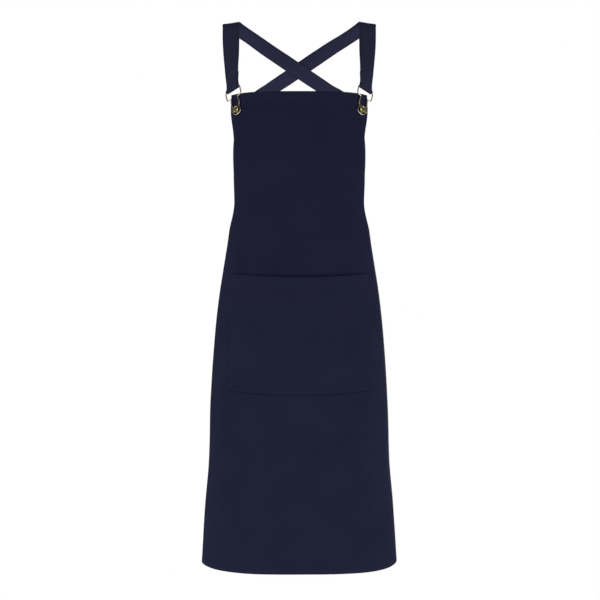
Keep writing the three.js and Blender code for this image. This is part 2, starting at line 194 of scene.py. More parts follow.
STRAP_ROWS = (
    StrapRow(0.95, -0.5, 0.2837, 0.66, -0.75, 0),
    StrapRow(0.967, -0.385, 0.2186, 0.52, -0.85, 0),
    StrapRow(0.984, -0.262, 0.1488, 0.31, -0.95, 0),
    StrapRow(0.995, -0.139, 0.0771, 0.13, -0.94, 0.3),
    StrapRow(1.0, -0.049, 0.0238, 0.09, -0.7, 0.7),
    StrapRow(1.0, 0.037, 0.0002, 0.07, 0.02, 0.99),
    StrapRow(0.894, 0.23, 0.0165, 0.08, 0.45, 0.88),
    StrapRow(0.715, 0.352, 0.0455, 0, 0.53, 0.85),
    StrapRow(0.467, 0.516, 0.0863, 0, 0.6, 0.8),
    StrapRow(0.233, 0.675, 0.1237, 0, 0.65, 0.76),
    StrapRow(0.0, 0.83, 0.1614, 0, 0.65, 0.76),
    StrapRow(-0.233, 0.975, 0.1995, 0, 0.65, 0.76),
    StrapRow(-0.45, 1.075, 0.2366, 0, 0.62, 0.785),
    StrapRow(-0.645, 1.11, 0.2727, -0.03, 0.71, 0.7),
    StrapRow(-0.8, 1.08, 0.343, -0.12, 0.9, 0.42),
    StrapRow(-0.895, 0.995, 0.467, -0.2, 0.96, 0.15),
    StrapRow(-0.893, 0.88, 0.63, -0.2, 0.98, -0.02),
    StrapRow(-0.818, 0.755, 0.795, -0.15, 0.98, -0.08),
)
CROSSING_ROW = 10

CLIP_ROWS = (
    ClipRow(0.5, 1, 0),
    ClipRow(0.89, 1, 0),
    ClipRow(0.965, 0.985, 0),
    ClipRow(0.995, 0.948, 0),
    ClipRow(1, 0.847, 0),
    ClipRow(0.99, 0.742, 0),
    ClipRow(0.945, 0.665, 0),
    ClipRow(0.85, 0.627, 0),
    ClipRow(0.7, 0.619, 0),
    ClipRow(0.53, 0.617, 0),
    ClipRow(0.46, 0.589, 0),
    ClipRow(0.5, 0.503, 0),
    ClipRow(0.535, 0.407, 0),
    ClipRow(0.51, 0.316, 0),
    ClipRow(0.42, 0.225, 0),
    ClipRow(0.41, 0.165, 0),
    ClipRow(0.47, 0.09, 0),
    ClipRow(0.48, 0.02, 0),
    ClipRow(0.43, 0, 0.4),
    ClipRow(0.25, 0, 0.88),
)

FOLD_ROWS = (
    FoldRow(-0.235, 0.02, 0.030, 0.0016, -0.46, -1.05),
    FoldRow(-0.168, -0.03, 0.024, -0.0010, -0.62, -1.05),
    FoldRow(-0.095, 0.03, 0.032, 0.0011, -0.72, -1.05),
    FoldRow(0.022, -0.02, 0.030, -0.0009, -0.74, -1.05),
    FoldRow(0.112, 0.03, 0.028, 0.0012, -0.70, -1.05),
    FoldRow(0.182, 0.04, 0.026, -0.0011, -0.58, -1.05),
    FoldRow(0.246, -0.02, 0.030, 0.0015, -0.46, -1.05),
    FoldRow(-0.062, 0.10, 0.040, 0.0009, -0.20, -0.40),
    FoldRow(0.070, -0.08, 0.044, -0.0008, -0.22, -0.42),
)

LAMPS = (
    Lamp("left_light", (-2.1, -1.3, -0.62), 1.2, 46.0),
    Lamp("right_light", (2.1, -1.3, -0.62), 1.2, 46.0),
    Lamp("back_light", (0.4, 2.6, -0.45), 1.6, 60.0),
)

STITCH_RINGS = (
    StitchRing(-0.5, 0.4, -0.9),
    StitchRing(-0.24, 1.0, 0.25),
    StitchRing(0.24, 1.0, 0.25),
    StitchRing(0.5, 0.4, -0.9),
)

HEAD_STEPS = (
    FaceStep(0.0018, 0.0),
    FaceStep(0.0007, -0.0006),
    FaceStep(0.0022, 0.0),
    FaceStep(0.0009, 0.0003),
    FaceStep(0.0012, 0.0001),
)


def smooth_step(value: Array, low: float, high: float) -> Array:
    """Rises smoothly from 0 at low to 1 at high.

    Args:
        value: The values to judge.
        low: Where the rise starts.
        high: Where the rise ends.

    Returns:
        The share of the rise at each value.
    """
    share = np.clip((value - low) / (high - low), 0.0, 1.0)
    return share * share * (3.0 - 2.0 * share)


def within(distance: Array, limit: float, blur: float) -> Array:
    """Falls smoothly from 1 to 0 round a limit.

    Args:
        distance: The distances to judge.
        limit: Where the fall is half done.
        blur: How far from the limit it starts and ends.

    Returns:
        The share at each distance.
    """
    return 1.0 - smooth_step(distance, limit - blur, limit + blur)


def bell(distance: Array, width: float) -> Array:
    """A bump of height 1 that fades with the distance, to about a third at its width."""
    return np.exp(-((distance / width) ** 2))


def unit(vectors: Array) -> Array:
    """The same vectors at length one."""
    return vectors / np.linalg.norm(vectors, axis=-1, keepdims=True)


def between(first: Array, second: Array, start: Array, end: Array, share: Array) -> Array:
    """Values on a smooth curve from one value to the next.

    Args:
        first: The values that the curve leaves.
        second: The values that it reaches.
        start: Its slopes where it leaves.
        end: Its slopes where it arrives.
        share: How far along it, from 0 to 1.

    Returns:
        The values there.
    """
    rise = second - first
    bend = 3 * rise - 2 * start - end + share * (start + end - 2 * rise)
    return first + share * (start + share * bend)


def table_value(rows: Sequence[FormRow | BibRow], column: str, down: Array) -> Array:
    """A column of a table, smooth between its rows.

    Args:
        rows: Rows in order of their down.
        column: Name of the column.
        down: Where to read it, from 0 to 1.

    Returns:
        The column's value at each place.
    """
    at = np.array([row.down for row in rows])
    value = np.array([getattr(row, column) for row in rows])
    slope = np.empty_like(value)
    slope[1:-1] = (value[2:] - value[:-2]) / (at[2:] - at[:-2])
    slope[0] = (value[1] - value[0]) / (at[1] - at[0])
    slope[-1] = (value[-1] - value[-2]) / (at[-1] - at[-2])
    i = np.clip(np.searchsorted(at, down) - 1, 0, len(at) - 2)
    width = at[i + 1] - at[i]
    share = np.clip((down - at[i]) / width, 0.0, 1.0)
    return between(value[i], value[i + 1], slope[i] * width, slope[i + 1] * width, share)


def graded(near: Sequence[float], total: float, pitch: float) -> Array:
    """Distances from an edge, close together near it and even after that.

    Args:
        near: The close distances, rising from the edge.
        total: The last distance.
        pitch: About how far apart the even ones are.

    Returns:
        The distances, from the first of near to total.
    """
    steps = max(1, round((total - near[-1]) / pitch))
    return np.concatenate([near, np.linspace(near[-1], total, steps + 1)[1:]])


def graded_both(near: Sequence[float], far: Sequence[float], total: float, pitch: float) -> Array:
    """Distances across a strip, close together at both of its edges.

    Args:
        near: The close distances from the first edge.
        far: The close distances from the second edge.
        total: Width of the strip.
        pitch: About how far apart the even ones are.

    Returns:
        The distances from the first edge.
    """
    return np.concatenate([graded(near, total - far[-1], pitch), total - np.array(far[:-1])[::-1]])


def soft_noise(along: Array, z: Array, size: float, seed: float) -> Array:
    """Smooth noise over the cloth, from about -1 to 1.

    Args:
        along: Lengths round the form.
        z: Heights.
        size: Width of one bump.
        seed: Which noise.

    Returns:
        The noise at each place, in the shape of along.
    """
    flat = [noise.noise(Vector((a / size, b / size, seed))) for a, b in zip(along.ravel(), z.ravel())]
    return np.array(flat).reshape(along.shape)


def rim_share(distance: Array, radius: float) -> Array:
    """Share of its half thickness that a wall with a round edge has near that edge.

    Args:
        distance: Distance to the edge.
        radius: Radius of the rounding.

    Returns:
        The share, small at the edge and 1 past the radius.
    """
    blunt = 0.28
    inwards = 1.0 - np.clip(distance / radius, 0.0, 1.0)
    return np.maximum(blunt, np.sqrt(1.0 - inwards * inwards))


@dataclass
class WornForm:
    """The form that the cloth lies on, read from a fine table of its levels."""

    apron_length: float = 0.862
    bib_top: float = -0.149
    hem_half_width: float = 0.180
    hem_half_depth: float = 0.120
    level_step: float = 0.002
    along_step: float = 0.001
    reach: float = 0.350
    spare: float = 0.010
    turns: int = 720

    def __post_init__(self) -> None:
        """Works out the form's levels from its named sizes."""
        self.hem_level = self.bib_top - self.apron_length
        self.levels = np.arange(self.hem_level - self.spare, self.bib_top + self.spare, self.level_step)
        down = (self.bib_top - self.levels) / self.apron_length
        wide = self.hem_half_width * table_value(FORM_ROWS, "wide", down)[:, None]
        deep = self.hem_half_depth * table_value(FORM_ROWS, "deep", down)[:, None]
        middle = deep - self.hem_half_depth * table_value(FORM_ROWS, "front", down)[:, None]
        square = table_value(FORM_ROWS, "square", down)[:, None]
        turn = np.linspace(0.0, math.pi, self.turns + 1)
        sin = np.abs(np.sin(turn))
        cos = np.cos(turn)
        radius = ((sin / wide) ** square + (np.abs(cos) / deep) ** square) ** (-1.0 / square)
        x = radius * sin
        y = middle - radius * cos
        steps = np.hypot(np.diff(x), np.diff(y))
        lengths = np.concatenate([np.zeros((len(down), 1)), np.cumsum(steps, axis=1)], axis=1)
        alongs = np.arange(0.0, self.reach, self.along_step)
        self.grid = np.array(
            [
                np.stack([np.interp(alongs, length, xs), np.interp(alongs, length, ys)], axis=-1)
                for length, xs, ys in zip(lengths, x, y)
            ]
        )

    def surface(self, along: Array, z: Array) -> Array:
        """Points on the bare form.

        Args:
            along: Lengths round the form from the centre line, minus on the left.
            z: Heights, in the shape of along.

        Returns:
            The points, with one axis more than along.
        """
        rows, columns = self.grid.shape[:2]
        level = np.clip((z - self.levels[0]) / self.level_step, 0, rows - 1.001)
        across = np.clip(np.abs(along) / self.along_step, 0, columns - 1.001)
        i = level.astype(int)
        k = across.astype(int)
        f = (level - i)[..., None]
        g = (across - k)[..., None]
        low = self.grid[i, k] * (1 - g) + self.grid[i, k + 1] * g
        high = self.grid[i + 1, k] * (1 - g) + self.grid[i + 1, k + 1] * g
        flat = low * (1 - f) + high * f
        return np.stack([flat[..., 0] * np.where(along < 0, -1.0, 1.0), flat[..., 1], z], axis=-1)

    def frames(self, along: Array, z: Array) -> tuple[Array, Array, Array]:
        """Ways along, up and out of the form.

        Args:
            along: Lengths round the form.
            z: Heights.

        Returns:
            Unit vectors sideways, up and out at each place.
        """
        step = 0.003
        sideways = unit(self.surface(along + step, z) - self.surface(along - step, z))
        up = unit(self.surface(along, z + step) - self.surface(along, z - step))
        out = unit(np.cross(sideways, up))
        return sideways, np.cross(out, sideways), out

    def place(self, along: Array, z: Array, outwards: Array | float) -> Array:
        """Points off the form.

        Args:
            along: Lengths round the form.
            z: Heights.
            outwards: Distance from the form, minus to the inside.

        Returns:
            The points.
        """
        along, z, outwards = np.broadcast_arrays(along, z, outwards)
        return self.surface(along, z) + self.frames(along, z)[2] * outwards[..., None]


@dataclass
class Pattern:
    """The flat pattern of the apron: where its edges lie, in along and z."""

    form: WornForm
    bib_length: float = 0.191
    armhole_drop: float = 0.090
    bib_half_width: float = 0.132
    waist_half_width: float = 0.325
    button_across: float = 0.1154
    button_drop: float = 0.0336
    side_points: int = 60
    armhole_points: int = 90

    def __post_init__(self) -> None:
        """Finds the levels and where the armhole runs at 45 degrees."""
        self.bib_top = self.form.bib_top
        self.hem_level = self.form.hem_level
        self.armhole_top = self.bib_top - self.bib_length
        self.armhole_width = self.waist_half_width - self.bib_half_width
        self.turn = math.atan2(self.armhole_drop, self.armhole_width)
        self.turn_along = self.waist_half_width - self.armhole_width * math.cos(self.turn)
        self.turn_level = self.armhole_top - self.armhole_drop * math.sin(self.turn)

    def side_half(self, z: Array) -> Array:
        """Half width of the cloth at a height, down to where the armhole runs at 45 degrees.

        Args:
            z: Heights.

        Returns:
            Half widths along the cloth.
        """
        down = np.clip((self.bib_top - z) / self.bib_length, 0.0, 1.0)
        bib = self.bib_half_width * table_value(BIB_ROWS, "half", down)
        drop = np.clip((self.armhole_top - z) / self.armhole_drop, 0.0, 1.0)
        armhole = self.waist_half_width - self.armhole_width * np.sqrt(1.0 - drop * drop)
        return np.where(z > self.armhole_top, bib, armhole)

    def armhole_level(self, along: Array) -> Array:
        """Height of the armhole's edge at a length along the cloth.

        Args:
            along: Lengths, between the bib's side and the waist corner.

        Returns:
            Heights of the edge.
        """
        inside = np.clip((self.waist_half_width - np.abs(along)) / self.armhole_width, 0.0, 1.0)
        return self.armhole_top - self.armhole_drop * np.sqrt(1.0 - inside * inside)

    def edge_lines(self, inset: float) -> dict[str, Array]:
        """The right half of the outline, moved inwards.

        Args:
            inset: Distance from the cut edge.

        Returns:
            Lines of along and z by the name of their edge.
        """
        level = np.linspace(self.bib_top, self.armhole_top, self.side_points)
        side = np.stack([self.side_half(level) - inset, level], axis=-1)
        turn = np.linspace(0.0, math.pi / 2, self.armhole_points)
        edge = np.stack(
            [
                self.waist_half_width - self.armhole_width * np.cos(turn),
                self.armhole_top - self.armhole_drop * np.sin(turn),
            ],
            axis=-1,
        )
        outwards = np.stack([self.armhole_drop * np.cos(turn), self.armhole_width * np.sin(turn)], axis=-1)
        armhole = edge - unit(outwards) * inset
        corner = self.armhole_top - self.armhole_drop
        back = self.waist_half_width - inset
        return {
            "side": side,
            "armhole": armhole[armhole[:, 0] <= back + 1e-9],
            "back": np.array([[back, corner - inset], [back, self.hem_level + inset]]),
            "hem": np.array([[back, self.hem_level + inset], [0.0, self.hem_level + inset]]),
        }

    def edge_distance(self, along: Array, z: Array) -> Array:
        """Distance to the nearest cut edge, the bib's top edge apart.

        Args:
            along: Lengths round the form.
            z: Heights.

        Returns:
            The distances.
        """
        places = np.stack([np.abs(along), z], axis=-1)
        nearest = np.full(along.shape, 1.0)
        for line in self.edge_lines(0.0).values():
            for start, end in zip(line[:-1], line[1:]):
                run = end - start
                share = np.clip(((places - start) @ run) / max(run @ run, 1e-12), 0.0, 1.0)
                gap = places - start - share[..., None] * run
                nearest = np.minimum(nearest, np.linalg.norm(gap, axis=-1))
        return nearest


@dataclass
class Drape:
    """The soft folds and ripples of the worn cloth, as a distance off its form."""

    pattern: Pattern
    ripple_depth: float = 0.0005
    ripple_size: float = 0.055
    ripple_stretch: float = 0.7
    ripple_seed: float = 4.7
    fold_rise: float = 0.12
    fold_end: float = 0.05
    still_reach: float = 0.030
    seat_margin: float = 0.025
    seat_drop: float = 0.020

    def __post_init__(self) -> None:
        """Marks the places where the cloth lies still."""
        cut = self.pattern
        seat = cut.waist_half_width - self.seat_margin
        self.still = (
            (cut.button_across, cut.bib_top - cut.button_drop),
            (seat, float(cut.armhole_level(np.array(seat))) - self.seat_drop),
        )

    def lift(self, along: Array, z: Array) -> Array:
        """How far the folds move the cloth outwards.

        Args:
            along: Lengths round the form.
            z: Heights.

        Returns:
            Distances, minus where a fold dips.
        """
        ripple = soft_noise(along, z * self.ripple_stretch, self.ripple_size, self.ripple_seed)
        lift = self.ripple_depth * ripple
        for fold in FOLD_ROWS:
            fade = smooth_step(-z, -fold.top, -fold.top + self.fold_rise)
            fade = fade * within(-z, -fold.bottom, self.fold_end)
            middle = fold.along + fold.lean * (fold.top - z)
            lift = lift + fold.depth * fade * bell(along - middle, fold.width)
        for still_along, still_z in self.still:
            reach = np.hypot(np.abs(along) - still_along, z - still_z) / self.still_reach
            lift = lift * (1.0 - np.exp(-(reach**4)))
        return lift


def link(name: str, mesh: bpy.types.Mesh) -> bpy.types.Object:
    """Puts a mesh in the scene.

    Args:
        name: Name of the new object.
        mesh: Its mesh.

    Returns:
        The object, at the origin.
    """
    thing = bpy.data.objects.new(name, mesh)
    bpy.context.scene.collection.objects.link(thing)
    return thing


def mesh_object(name: str, points: Array, faces: Array) -> bpy.types.Object:
    """A smooth mesh object from points and quads.

    Args:
        name: Name of the object.
        points: Its points.
        faces: Four point numbers for each face.

    Returns:
        The object.
    """
    mesh = bpy.data.meshes.new(name)
    mesh.from_pydata(points.tolist(), [], faces.tolist())
    mesh.polygons.foreach_set("use_smooth", np.ones(len(mesh.polygons), dtype=bool))
    mesh.update()
    return link(name, mesh)


@dataclass(frozen=True)
class WearMarks:
    """How far cloth is rubbed pale: at its edge, where it is turned in, and on a ridge by a seam."""

    edge: float
    edge_width: float = 0.0016
    turned: float = 0.0
    ridge: float = 0.0
    ridge_place: float = 0.0
    ridge_width: float = 0.001
    groove: float = 0.3

    def at(self, edge: Array, turned: Array | float, beside: Array, groove: Array) -> Array:
        """Works out the wear.

        Args:
            edge: Distances to the edge.
            turned: Where the cloth is turned in, from 0 to 1.
            beside: The distances that the ridge's place is measured by.
            groove: Where a seam pulls the cloth in, from 0 to 1.

        Returns:
            The wear, from 0 to 1.
        """
        wear = self.edge * bell(edge, self.edge_width) + self.turned * turned * (1.0 - groove)
        wear = wear + self.ridge * bell(beside - self.ridge_place, self.ridge_width)
        return (wear - self.groove * groove).clip(0.0, 1.0)


@dataclass(frozen=True)
class SeamMarks:
    """How a row of stitches pulls the cloth in, and how the cloth puckers beside it."""

    groove_width: float
    pucker_depth: float
    seed: float
    groove_depth: float = 0.00028
    pucker_size: float = 0.0075
    pucker_reach: float = 0.006

    def relief(self, along: Array, z: Array, off: Array) -> Array:
        """Works out how far the seams move the cloth's face.

        Args:
            along: Lengths round the form.
            z: Heights.
            off: Distances to the nearest row of stitches.

        Returns:
            Distances, minus inwards.
        """
        pucker = soft_noise(along, z, self.pucker_size, self.seed) * np.exp(-off / self.pucker_reach)
        return self.pucker_depth * pucker - self.groove_depth * bell(off, self.groove_width)


@dataclass
class Wall:
    """A wall of cloth between two grids of points, with its edges closed.

    Rows run down and columns run to the right, as the outer grid is seen. Painted shade scales the
    colour, and inner_painted_shade scales it once more on the inner grid.
    """

    outer: Array
    inner: Array
    uv: Array
    wear: Array
    cells: Array | None = None
    shade: Array | float = 1.0
    inner_painted_shade: float = 1.0

    def build(self, name: str) -> bpy.types.Object:
        """Makes the wall's object.

        Args:
            name: Name of the object.

        Returns:
            The object, with its UV map and its wear and painted shade attributes.
        """
        rows, columns = self.outer.shape[:2]
        count = rows * columns
        index = np.arange(count).reshape(rows, columns)
        quads = np.stack([index[:-1, :-1], index[1:, :-1], index[1:, 1:], index[:-1, 1:]], axis=-1)
        quads = quads.reshape(-1, 4) if self.cells is None else quads[self.cells]
        starts = quads.ravel()
        ends = np.roll(quads, -1, axis=1).ravel()
        rim = ~np.isin(starts * count + ends, ends * count + starts)
        start, end = starts[rim], ends[rim]
        faces = np.concatenate(
            [
                quads,
                quads[:, ::-1] + count,
                np.stack([end, start, start + count, end + count], axis=-1),
            ]
        )
        used, numbers = np.unique(faces, return_inverse=True)
        faces = numbers.reshape(faces.shape)
        points = np.concatenate([self.outer.reshape(-1, 3), self.inner.reshape(-1, 3)])[used]
        thing = mesh_object(name, points, faces)
        uv = np.concatenate([self.uv.reshape(-1, 2)] * 2)[used]
        layer = thing.data.uv_layers.new(name=CLOTH_UV)
        layer.data.foreach_set("uv", uv[faces.ravel()].astype(np.float32).ravel())
        # Painted shade: the factor that darkens the colour where the pieces paint shade into it.
        shade = np.broadcast_to(self.shade, self.wear.shape)
        for label, value, inner_share in ((WEAR, self.wear, 1.0), (PAINTED_SHADE, shade, self.inner_painted_shade)):
            values = np.concatenate([value.ravel(), value.ravel() * inner_share])[used]
            attribute = thing.data.attributes.new(label, "FLOAT", "POINT")
            attribute.data.foreach_set("value", values.astype(np.float32))
        return thing


@dataclass
class StitchWork:
    """Lines of stitches that become one piece."""

    name: str
    pitch: float = 0.0034
    length: float = 0.0027
    radius: float = 0.00030
    sides: int = 6
    middles: list[Array] = field(default_factory=list)
    ways: list[Array] = field(default_factory=list)
    outs: list[Array] = field(default_factory=list)

    def run(self, points: Array, outs: Array) -> None:
        """Lays stitches along a line.

        Args:
            points: Close points of the line, on the cloth.
            outs: Ways out of the cloth at those points.
        """
        steps = np.linalg.norm(np.diff(points, axis=0), axis=1)
        lengths = np.concatenate([[0.0], np.cumsum(steps)])
        count = max(1, round(lengths[-1] / self.pitch))
        at = (np.arange(count) + 0.5) * lengths[-1] / count

        def read(values: Array, where: Array) -> Array:
            """Values at lengths along the line."""
            return np.stack([np.interp(where, lengths, values[:, axis]) for axis in range(3)], axis=-1)

        half = self.length / 2
        self.middles.append(read(points, at))
        self.ways.append(unit(read(points, at + half) - read(points, at - half)))
        self.outs.append(unit(read(outs, at)))

    def build(self) -> bpy.types.Object:
        """Makes one object of all the stitches.

        Returns:
            The object.
        """
        middles = np.concatenate(self.middles)[:, None]
        ways = np.concatenate(self.ways)[:, None]
        outs = np.concatenate(self.outs)[:, None]
        across = unit(np.cross(ways, outs))
        turn = 2 * math.pi * np.arange(self.sides) / self.sides
        parts = []
        for ring in STITCH_RINGS:
            sideways = across * (self.radius * ring.thick * np.cos(turn))[:, None]
            height = self.radius * (ring.rise + ring.thick * np.sin(turn))
            parts.append(middles + ways * (self.length * ring.place) + sideways + outs * height[:, None])
        points = np.concatenate(parts, axis=1)
        offsets = points.shape[1] * np.arange(len(points))[:, None, None]
        faces = (self.template()[None] + offsets).reshape(-1, 4)
        return mesh_object(self.name, points.reshape(-1, 3), faces)

    def template(self) -> Array:
        """The faces of one stitch. Each of its six-sided ends is two quads.

        Returns:
            Four point numbers for each face.
        """
        last = (len(STITCH_RINGS) - 1) * self.sides
        faces = []
        for start in range(0, last, self.sides):
            for k in range(self.sides):
                after = (k + 1) % self.sides
                faces.append([start + k, start + self.sides + k, start + self.sides + after, start + after])
        first_end = list(range(self.sides))
        last_end = [last + k for k in reversed(first_end)]
        for corners in (first_end, last_end):
            faces += [corners[:4], [corners[0], *corners[3:]]]
        return np.array(faces)


class ShaderNodes:
    """Adds and joins the nodes of one material."""

    def __init__(self, name: str) -> None:
        """Starts an empty material.

        Args:
            name: Name of the material.
        """
        self.material = bpy.data.materials.new(name)
        self.material.use_nodes = True
        self.tree = self.material.node_tree
        self.tree.nodes.clear()
        self.shader = self.add("ShaderNodeBsdfPrincipled")
        output = self.add("ShaderNodeOutputMaterial")
        self.join(self.shader.outputs["BSDF"], output.inputs["Surface"])

    def add(self, kind: str, **values: object) -> bpy.types.Node:
        """Adds a node.

        Args:
            kind: Blender's name of the node's type.
            **values: Properties of the node.

        Returns:
            The node.
        """
        node = self.tree.nodes.new(kind)
        for key, value in values.items():
            setattr(node, key, value)
        return node

    def join(self, source: bpy.types.NodeSocket, target: bpy.types.NodeSocket) -> None:
        """Links an output to an input."""
        self.tree.links.new(source, target)

    def math(self, operation: str, first: object, second: object) -> bpy.types.NodeSocket:
        """Adds a math node.

        Args:
            operation: What it does, such as ADD.
            first: A socket or a number.
            second: A socket or a number.

        Returns:
            Its result.
        """
        node = self.add("ShaderNodeMath", operation=operation)
        for socket, value in zip(node.inputs, (first, second)):
            if isinstance(value, bpy.types.NodeSocket):
                self.join(value, socket)
            else:
                socket.default_value = value
        return node.outputs[0]

    def blend(
        self, factor: bpy.types.NodeSocket, first: object, second: object, kind: str = "MIX"
    ) -> bpy.types.NodeSocket:
        """Mixes two colours.

        Args:
            factor: Share of the second.
            first: A colour, or a socket that gives one.
            second: A colour, or a socket that gives one.
            kind: How they mix.

        Returns:
            The mixed colour.
        """
        node = self.add("ShaderNodeMix", data_type="RGBA", blend_type=kind)
        self.join(factor, node.inputs[0])
        for socket, value in zip(node.inputs[6:8], (first, second)):
            if isinstance(value, bpy.types.NodeSocket):
                self.join(value, socket)
            else:
                socket.default_value = (*value, 1.0)
        return node.outputs[2]

    def noise(self, source: bpy.types.NodeSocket, scale: float, detail: float) -> bpy.types.NodeSocket:
        """Adds a noise texture.

        Args:
            source: Its coordinates.
            scale: Bumps to the metre.
            detail: How many finer layers it has.

        Returns:
            Its value.
        """
        node = self.add("ShaderNodeTexNoise")
        node.inputs["Scale"].default_value = scale
        node.inputs["Detail"].default_value = detail
        self.join(source, node.inputs["Vector"])
        return node.outputs[0]

    def spread(self, value: bpy.types.NodeSocket, low: float, high: float) -> bpy.types.NodeSocket:
        """Stretches a value, so that low becomes 0 and high becomes 1.

        Args:
            value: The value.
            low: What becomes 0.
            high: What becomes 1.

        Returns:
            The stretched value, held between 0 and 1.
        """
        node = self.add("ShaderNodeMapRange")
        node.inputs["From Min"].default_value = low
        node.inputs["From Max"].default_value = high
        self.join(value, node.inputs["Value"])
        return node.outputs["Result"]

    def mapped(self, source: bpy.types.NodeSocket, setting: str, value: Colour) -> bpy.types.NodeSocket:
        """Turns or scales coordinates.

        Args:
            source: The coordinates.
            setting: Rotation or Scale.
            value: Its three numbers.

        Returns:
            The new coordinates.
        """
        node = self.add("ShaderNodeMapping")
        node.inputs[setting].default_value = value
        self.join(source, node.inputs["Vector"])
        return node.outputs["Vector"]

    def body(self) -> bpy.types.NodeSocket:
        """Object coordinates."""
        return self.add("ShaderNodeTexCoord").outputs["Object"]

    def attribute(self, name: str) -> bpy.types.NodeSocket:
        """The value of one of the mesh's attributes."""
        return self.add("ShaderNodeAttribute", attribute_name=name).outputs["Fac"]

    def settings(self, values: dict[str, float | tuple[float, ...]]) -> None:
        """Sets the shader's plain inputs.

        Args:
            values: What the inputs are set to, by their names.
        """
        for name, value in values.items():
            self.shader.inputs[name].default_value = value

    def bump(self, height: bpy.types.NodeSocket, depth: float, strength: float) -> None:
        """Joins a height to the shader's normal.

        Args:
            height: The height, from 0 to 1.
            depth: What a height of 1 stands for.
            strength: Share of the effect.
        """
        node = self.add("ShaderNodeBump")
        node.inputs["Distance"].default_value = depth
        node.inputs["Strength"].default_value = strength
        self.join(height, node.inputs["Height"])
        self.join(node.outputs["Normal"], self.shader.inputs["Normal"])


@dataclass(frozen=True)
class TwillFinish:
    """Cotton twill: diagonal ribs, slubs in its yarns, faint mottling, paler worn edges, painted light
    lower down and painted shade from the mesh.
    """

    name: str
    deep: Colour
    pale: Colour
    worn: Colour
    # Painted light: fade lifts the colour lower down, standing in for the skirt catching more light than
    # the bib.
    fade: Colour = (1.0, 1.0, 1.0)
    painted_light_levels: tuple[float, float] = (-0.34, -0.60)
    rib_pitch: float = 0.0011
    rib_turn: float = math.radians(52)
    rib_wander: float = 1.1
    rib_depth: float = 0.00012
    relief: float = 0.5
    slub_scale: float = 1300.0
    slub_stretch: float = 0.12
    slub_rise: float = 0.5
    mottle_scale: float = 16.0
    lint_scale: float = 900.0
    rib_share: float = 0.26
    slub_share: float = 0.34
    mottle_share: float = 0.36
    lint_share: float = 0.12
    tone_range: tuple[float, float] = (0.36, 0.70)
    rub_floor: float = 0.35
    roughness: float = 0.92
    gloss: float = 0.04
    sheen: float = 0.012
    sheen_roughness: float = 0.45
    sheen_tint: Colour = (0.55, 0.6, 0.85)

    def build(self) -> bpy.types.Material:
        """Makes the material.

        Returns:
            The material, which reads the cloth's UV map and its wear and painted shade attributes.
        """
        nodes = ShaderNodes(self.name)
        uv = nodes.add("ShaderNodeUVMap", uv_map=CLOTH_UV).outputs["UV"]
        ribs = self.ribs(nodes, uv)
        yarn = nodes.mapped(uv, "Scale", (1.0, self.slub_stretch, 1.0))
        slubs = nodes.noise(yarn, self.slub_scale, 3.0)
        # Painted shade: the colour is scaled by the mesh's painted shade attribute.
        shaded = nodes.add("ShaderNodeVectorMath", operation="SCALE")
        nodes.join(self.colour(nodes, ribs, slubs), shaded.inputs[0])
        nodes.join(nodes.attribute(PAINTED_SHADE), shaded.inputs["Scale"])
        nodes.join(shaded.outputs[0], nodes.shader.inputs["Base Color"])
        height = nodes.math("ADD", ribs, nodes.math("MULTIPLY", slubs, self.slub_rise))
        nodes.bump(height, self.rib_depth, self.relief)
        nodes.settings({
            "Roughness": self.roughness,
            "Specular IOR Level": self.gloss,
            "Sheen Weight": self.sheen,
            "Sheen Roughness": self.sheen_roughness,
            "Sheen Tint": (*self.sheen_tint, 1.0),
        })
        return nodes.material

    def ribs(self, nodes: ShaderNodes, uv: bpy.types.NodeSocket) -> bpy.types.NodeSocket:
        """Adds the diagonal ribs of the weave.

        Args:
            nodes: The material's nodes.
            uv: The cloth's UV coordinates, in metres.

        Returns:
            The ribs' height, from 0 to 1.
        """
        ribs = nodes.add("ShaderNodeTexWave", wave_type="BANDS", bands_direction="X", wave_profile="SIN")
        waves_to_the_metre = 20.0 / (2 * math.pi)
        ribs.inputs["Scale"].default_value = 1.0 / (self.rib_pitch * waves_to_the_metre)
        ribs.inputs["Distortion"].default_value = self.rib_wander
        ribs.inputs["Detail"].default_value = 2.0
        ribs.inputs["Detail Scale"].default_value = 0.35
        nodes.join(nodes.mapped(uv, "Rotation", (0.0, 0.0, self.rib_turn)), ribs.inputs["Vector"])
        return ribs.outputs["Fac"]

    def colour(
        self, nodes: ShaderNodes, ribs: bpy.types.NodeSocket, slubs: bpy.types.NodeSocket
    ) -> bpy.types.NodeSocket:
        """Mixes the cloth's colour: its weave and mottling, then its wear, then painted light that lifts it
        lighter and greener downwards.

        Args:
            nodes: The material's nodes.
            ribs: The ribs' height.
            slubs: The slubs' height.

        Returns:
            The colour.
        """
        body = nodes.body()
        layers = (
            (ribs, self.rib_share),
            (slubs, self.slub_share),
            (nodes.noise(body, self.mottle_scale, 5.0), self.mottle_share),
            (nodes.noise(body, self.lint_scale, 2.0), self.lint_share),
        )
        tone, *others = (nodes.math("MULTIPLY", layer, share) for layer, share in layers)
        for other in others:
            tone = nodes.math("ADD", tone, other)
        colour = nodes.blend(nodes.spread(tone, *self.tone_range), self.deep, self.pale)
        rubbed = nodes.math("MULTIPLY", nodes.attribute(WEAR), nodes.math("ADD", slubs, self.rub_floor))
        colour = nodes.blend(rubbed, colour, self.worn)
        # Painted light: lower down the colour is lifted lighter and greener, standing in for the skirt
        # catching more light than the bib.
        level = nodes.add("ShaderNodeSeparateXYZ")
        nodes.join(body, level.inputs[0])
        low = nodes.spread(level.outputs["Z"], *self.painted_light_levels)
        return nodes.blend(low, colour, self.fade, "MULTIPLY")


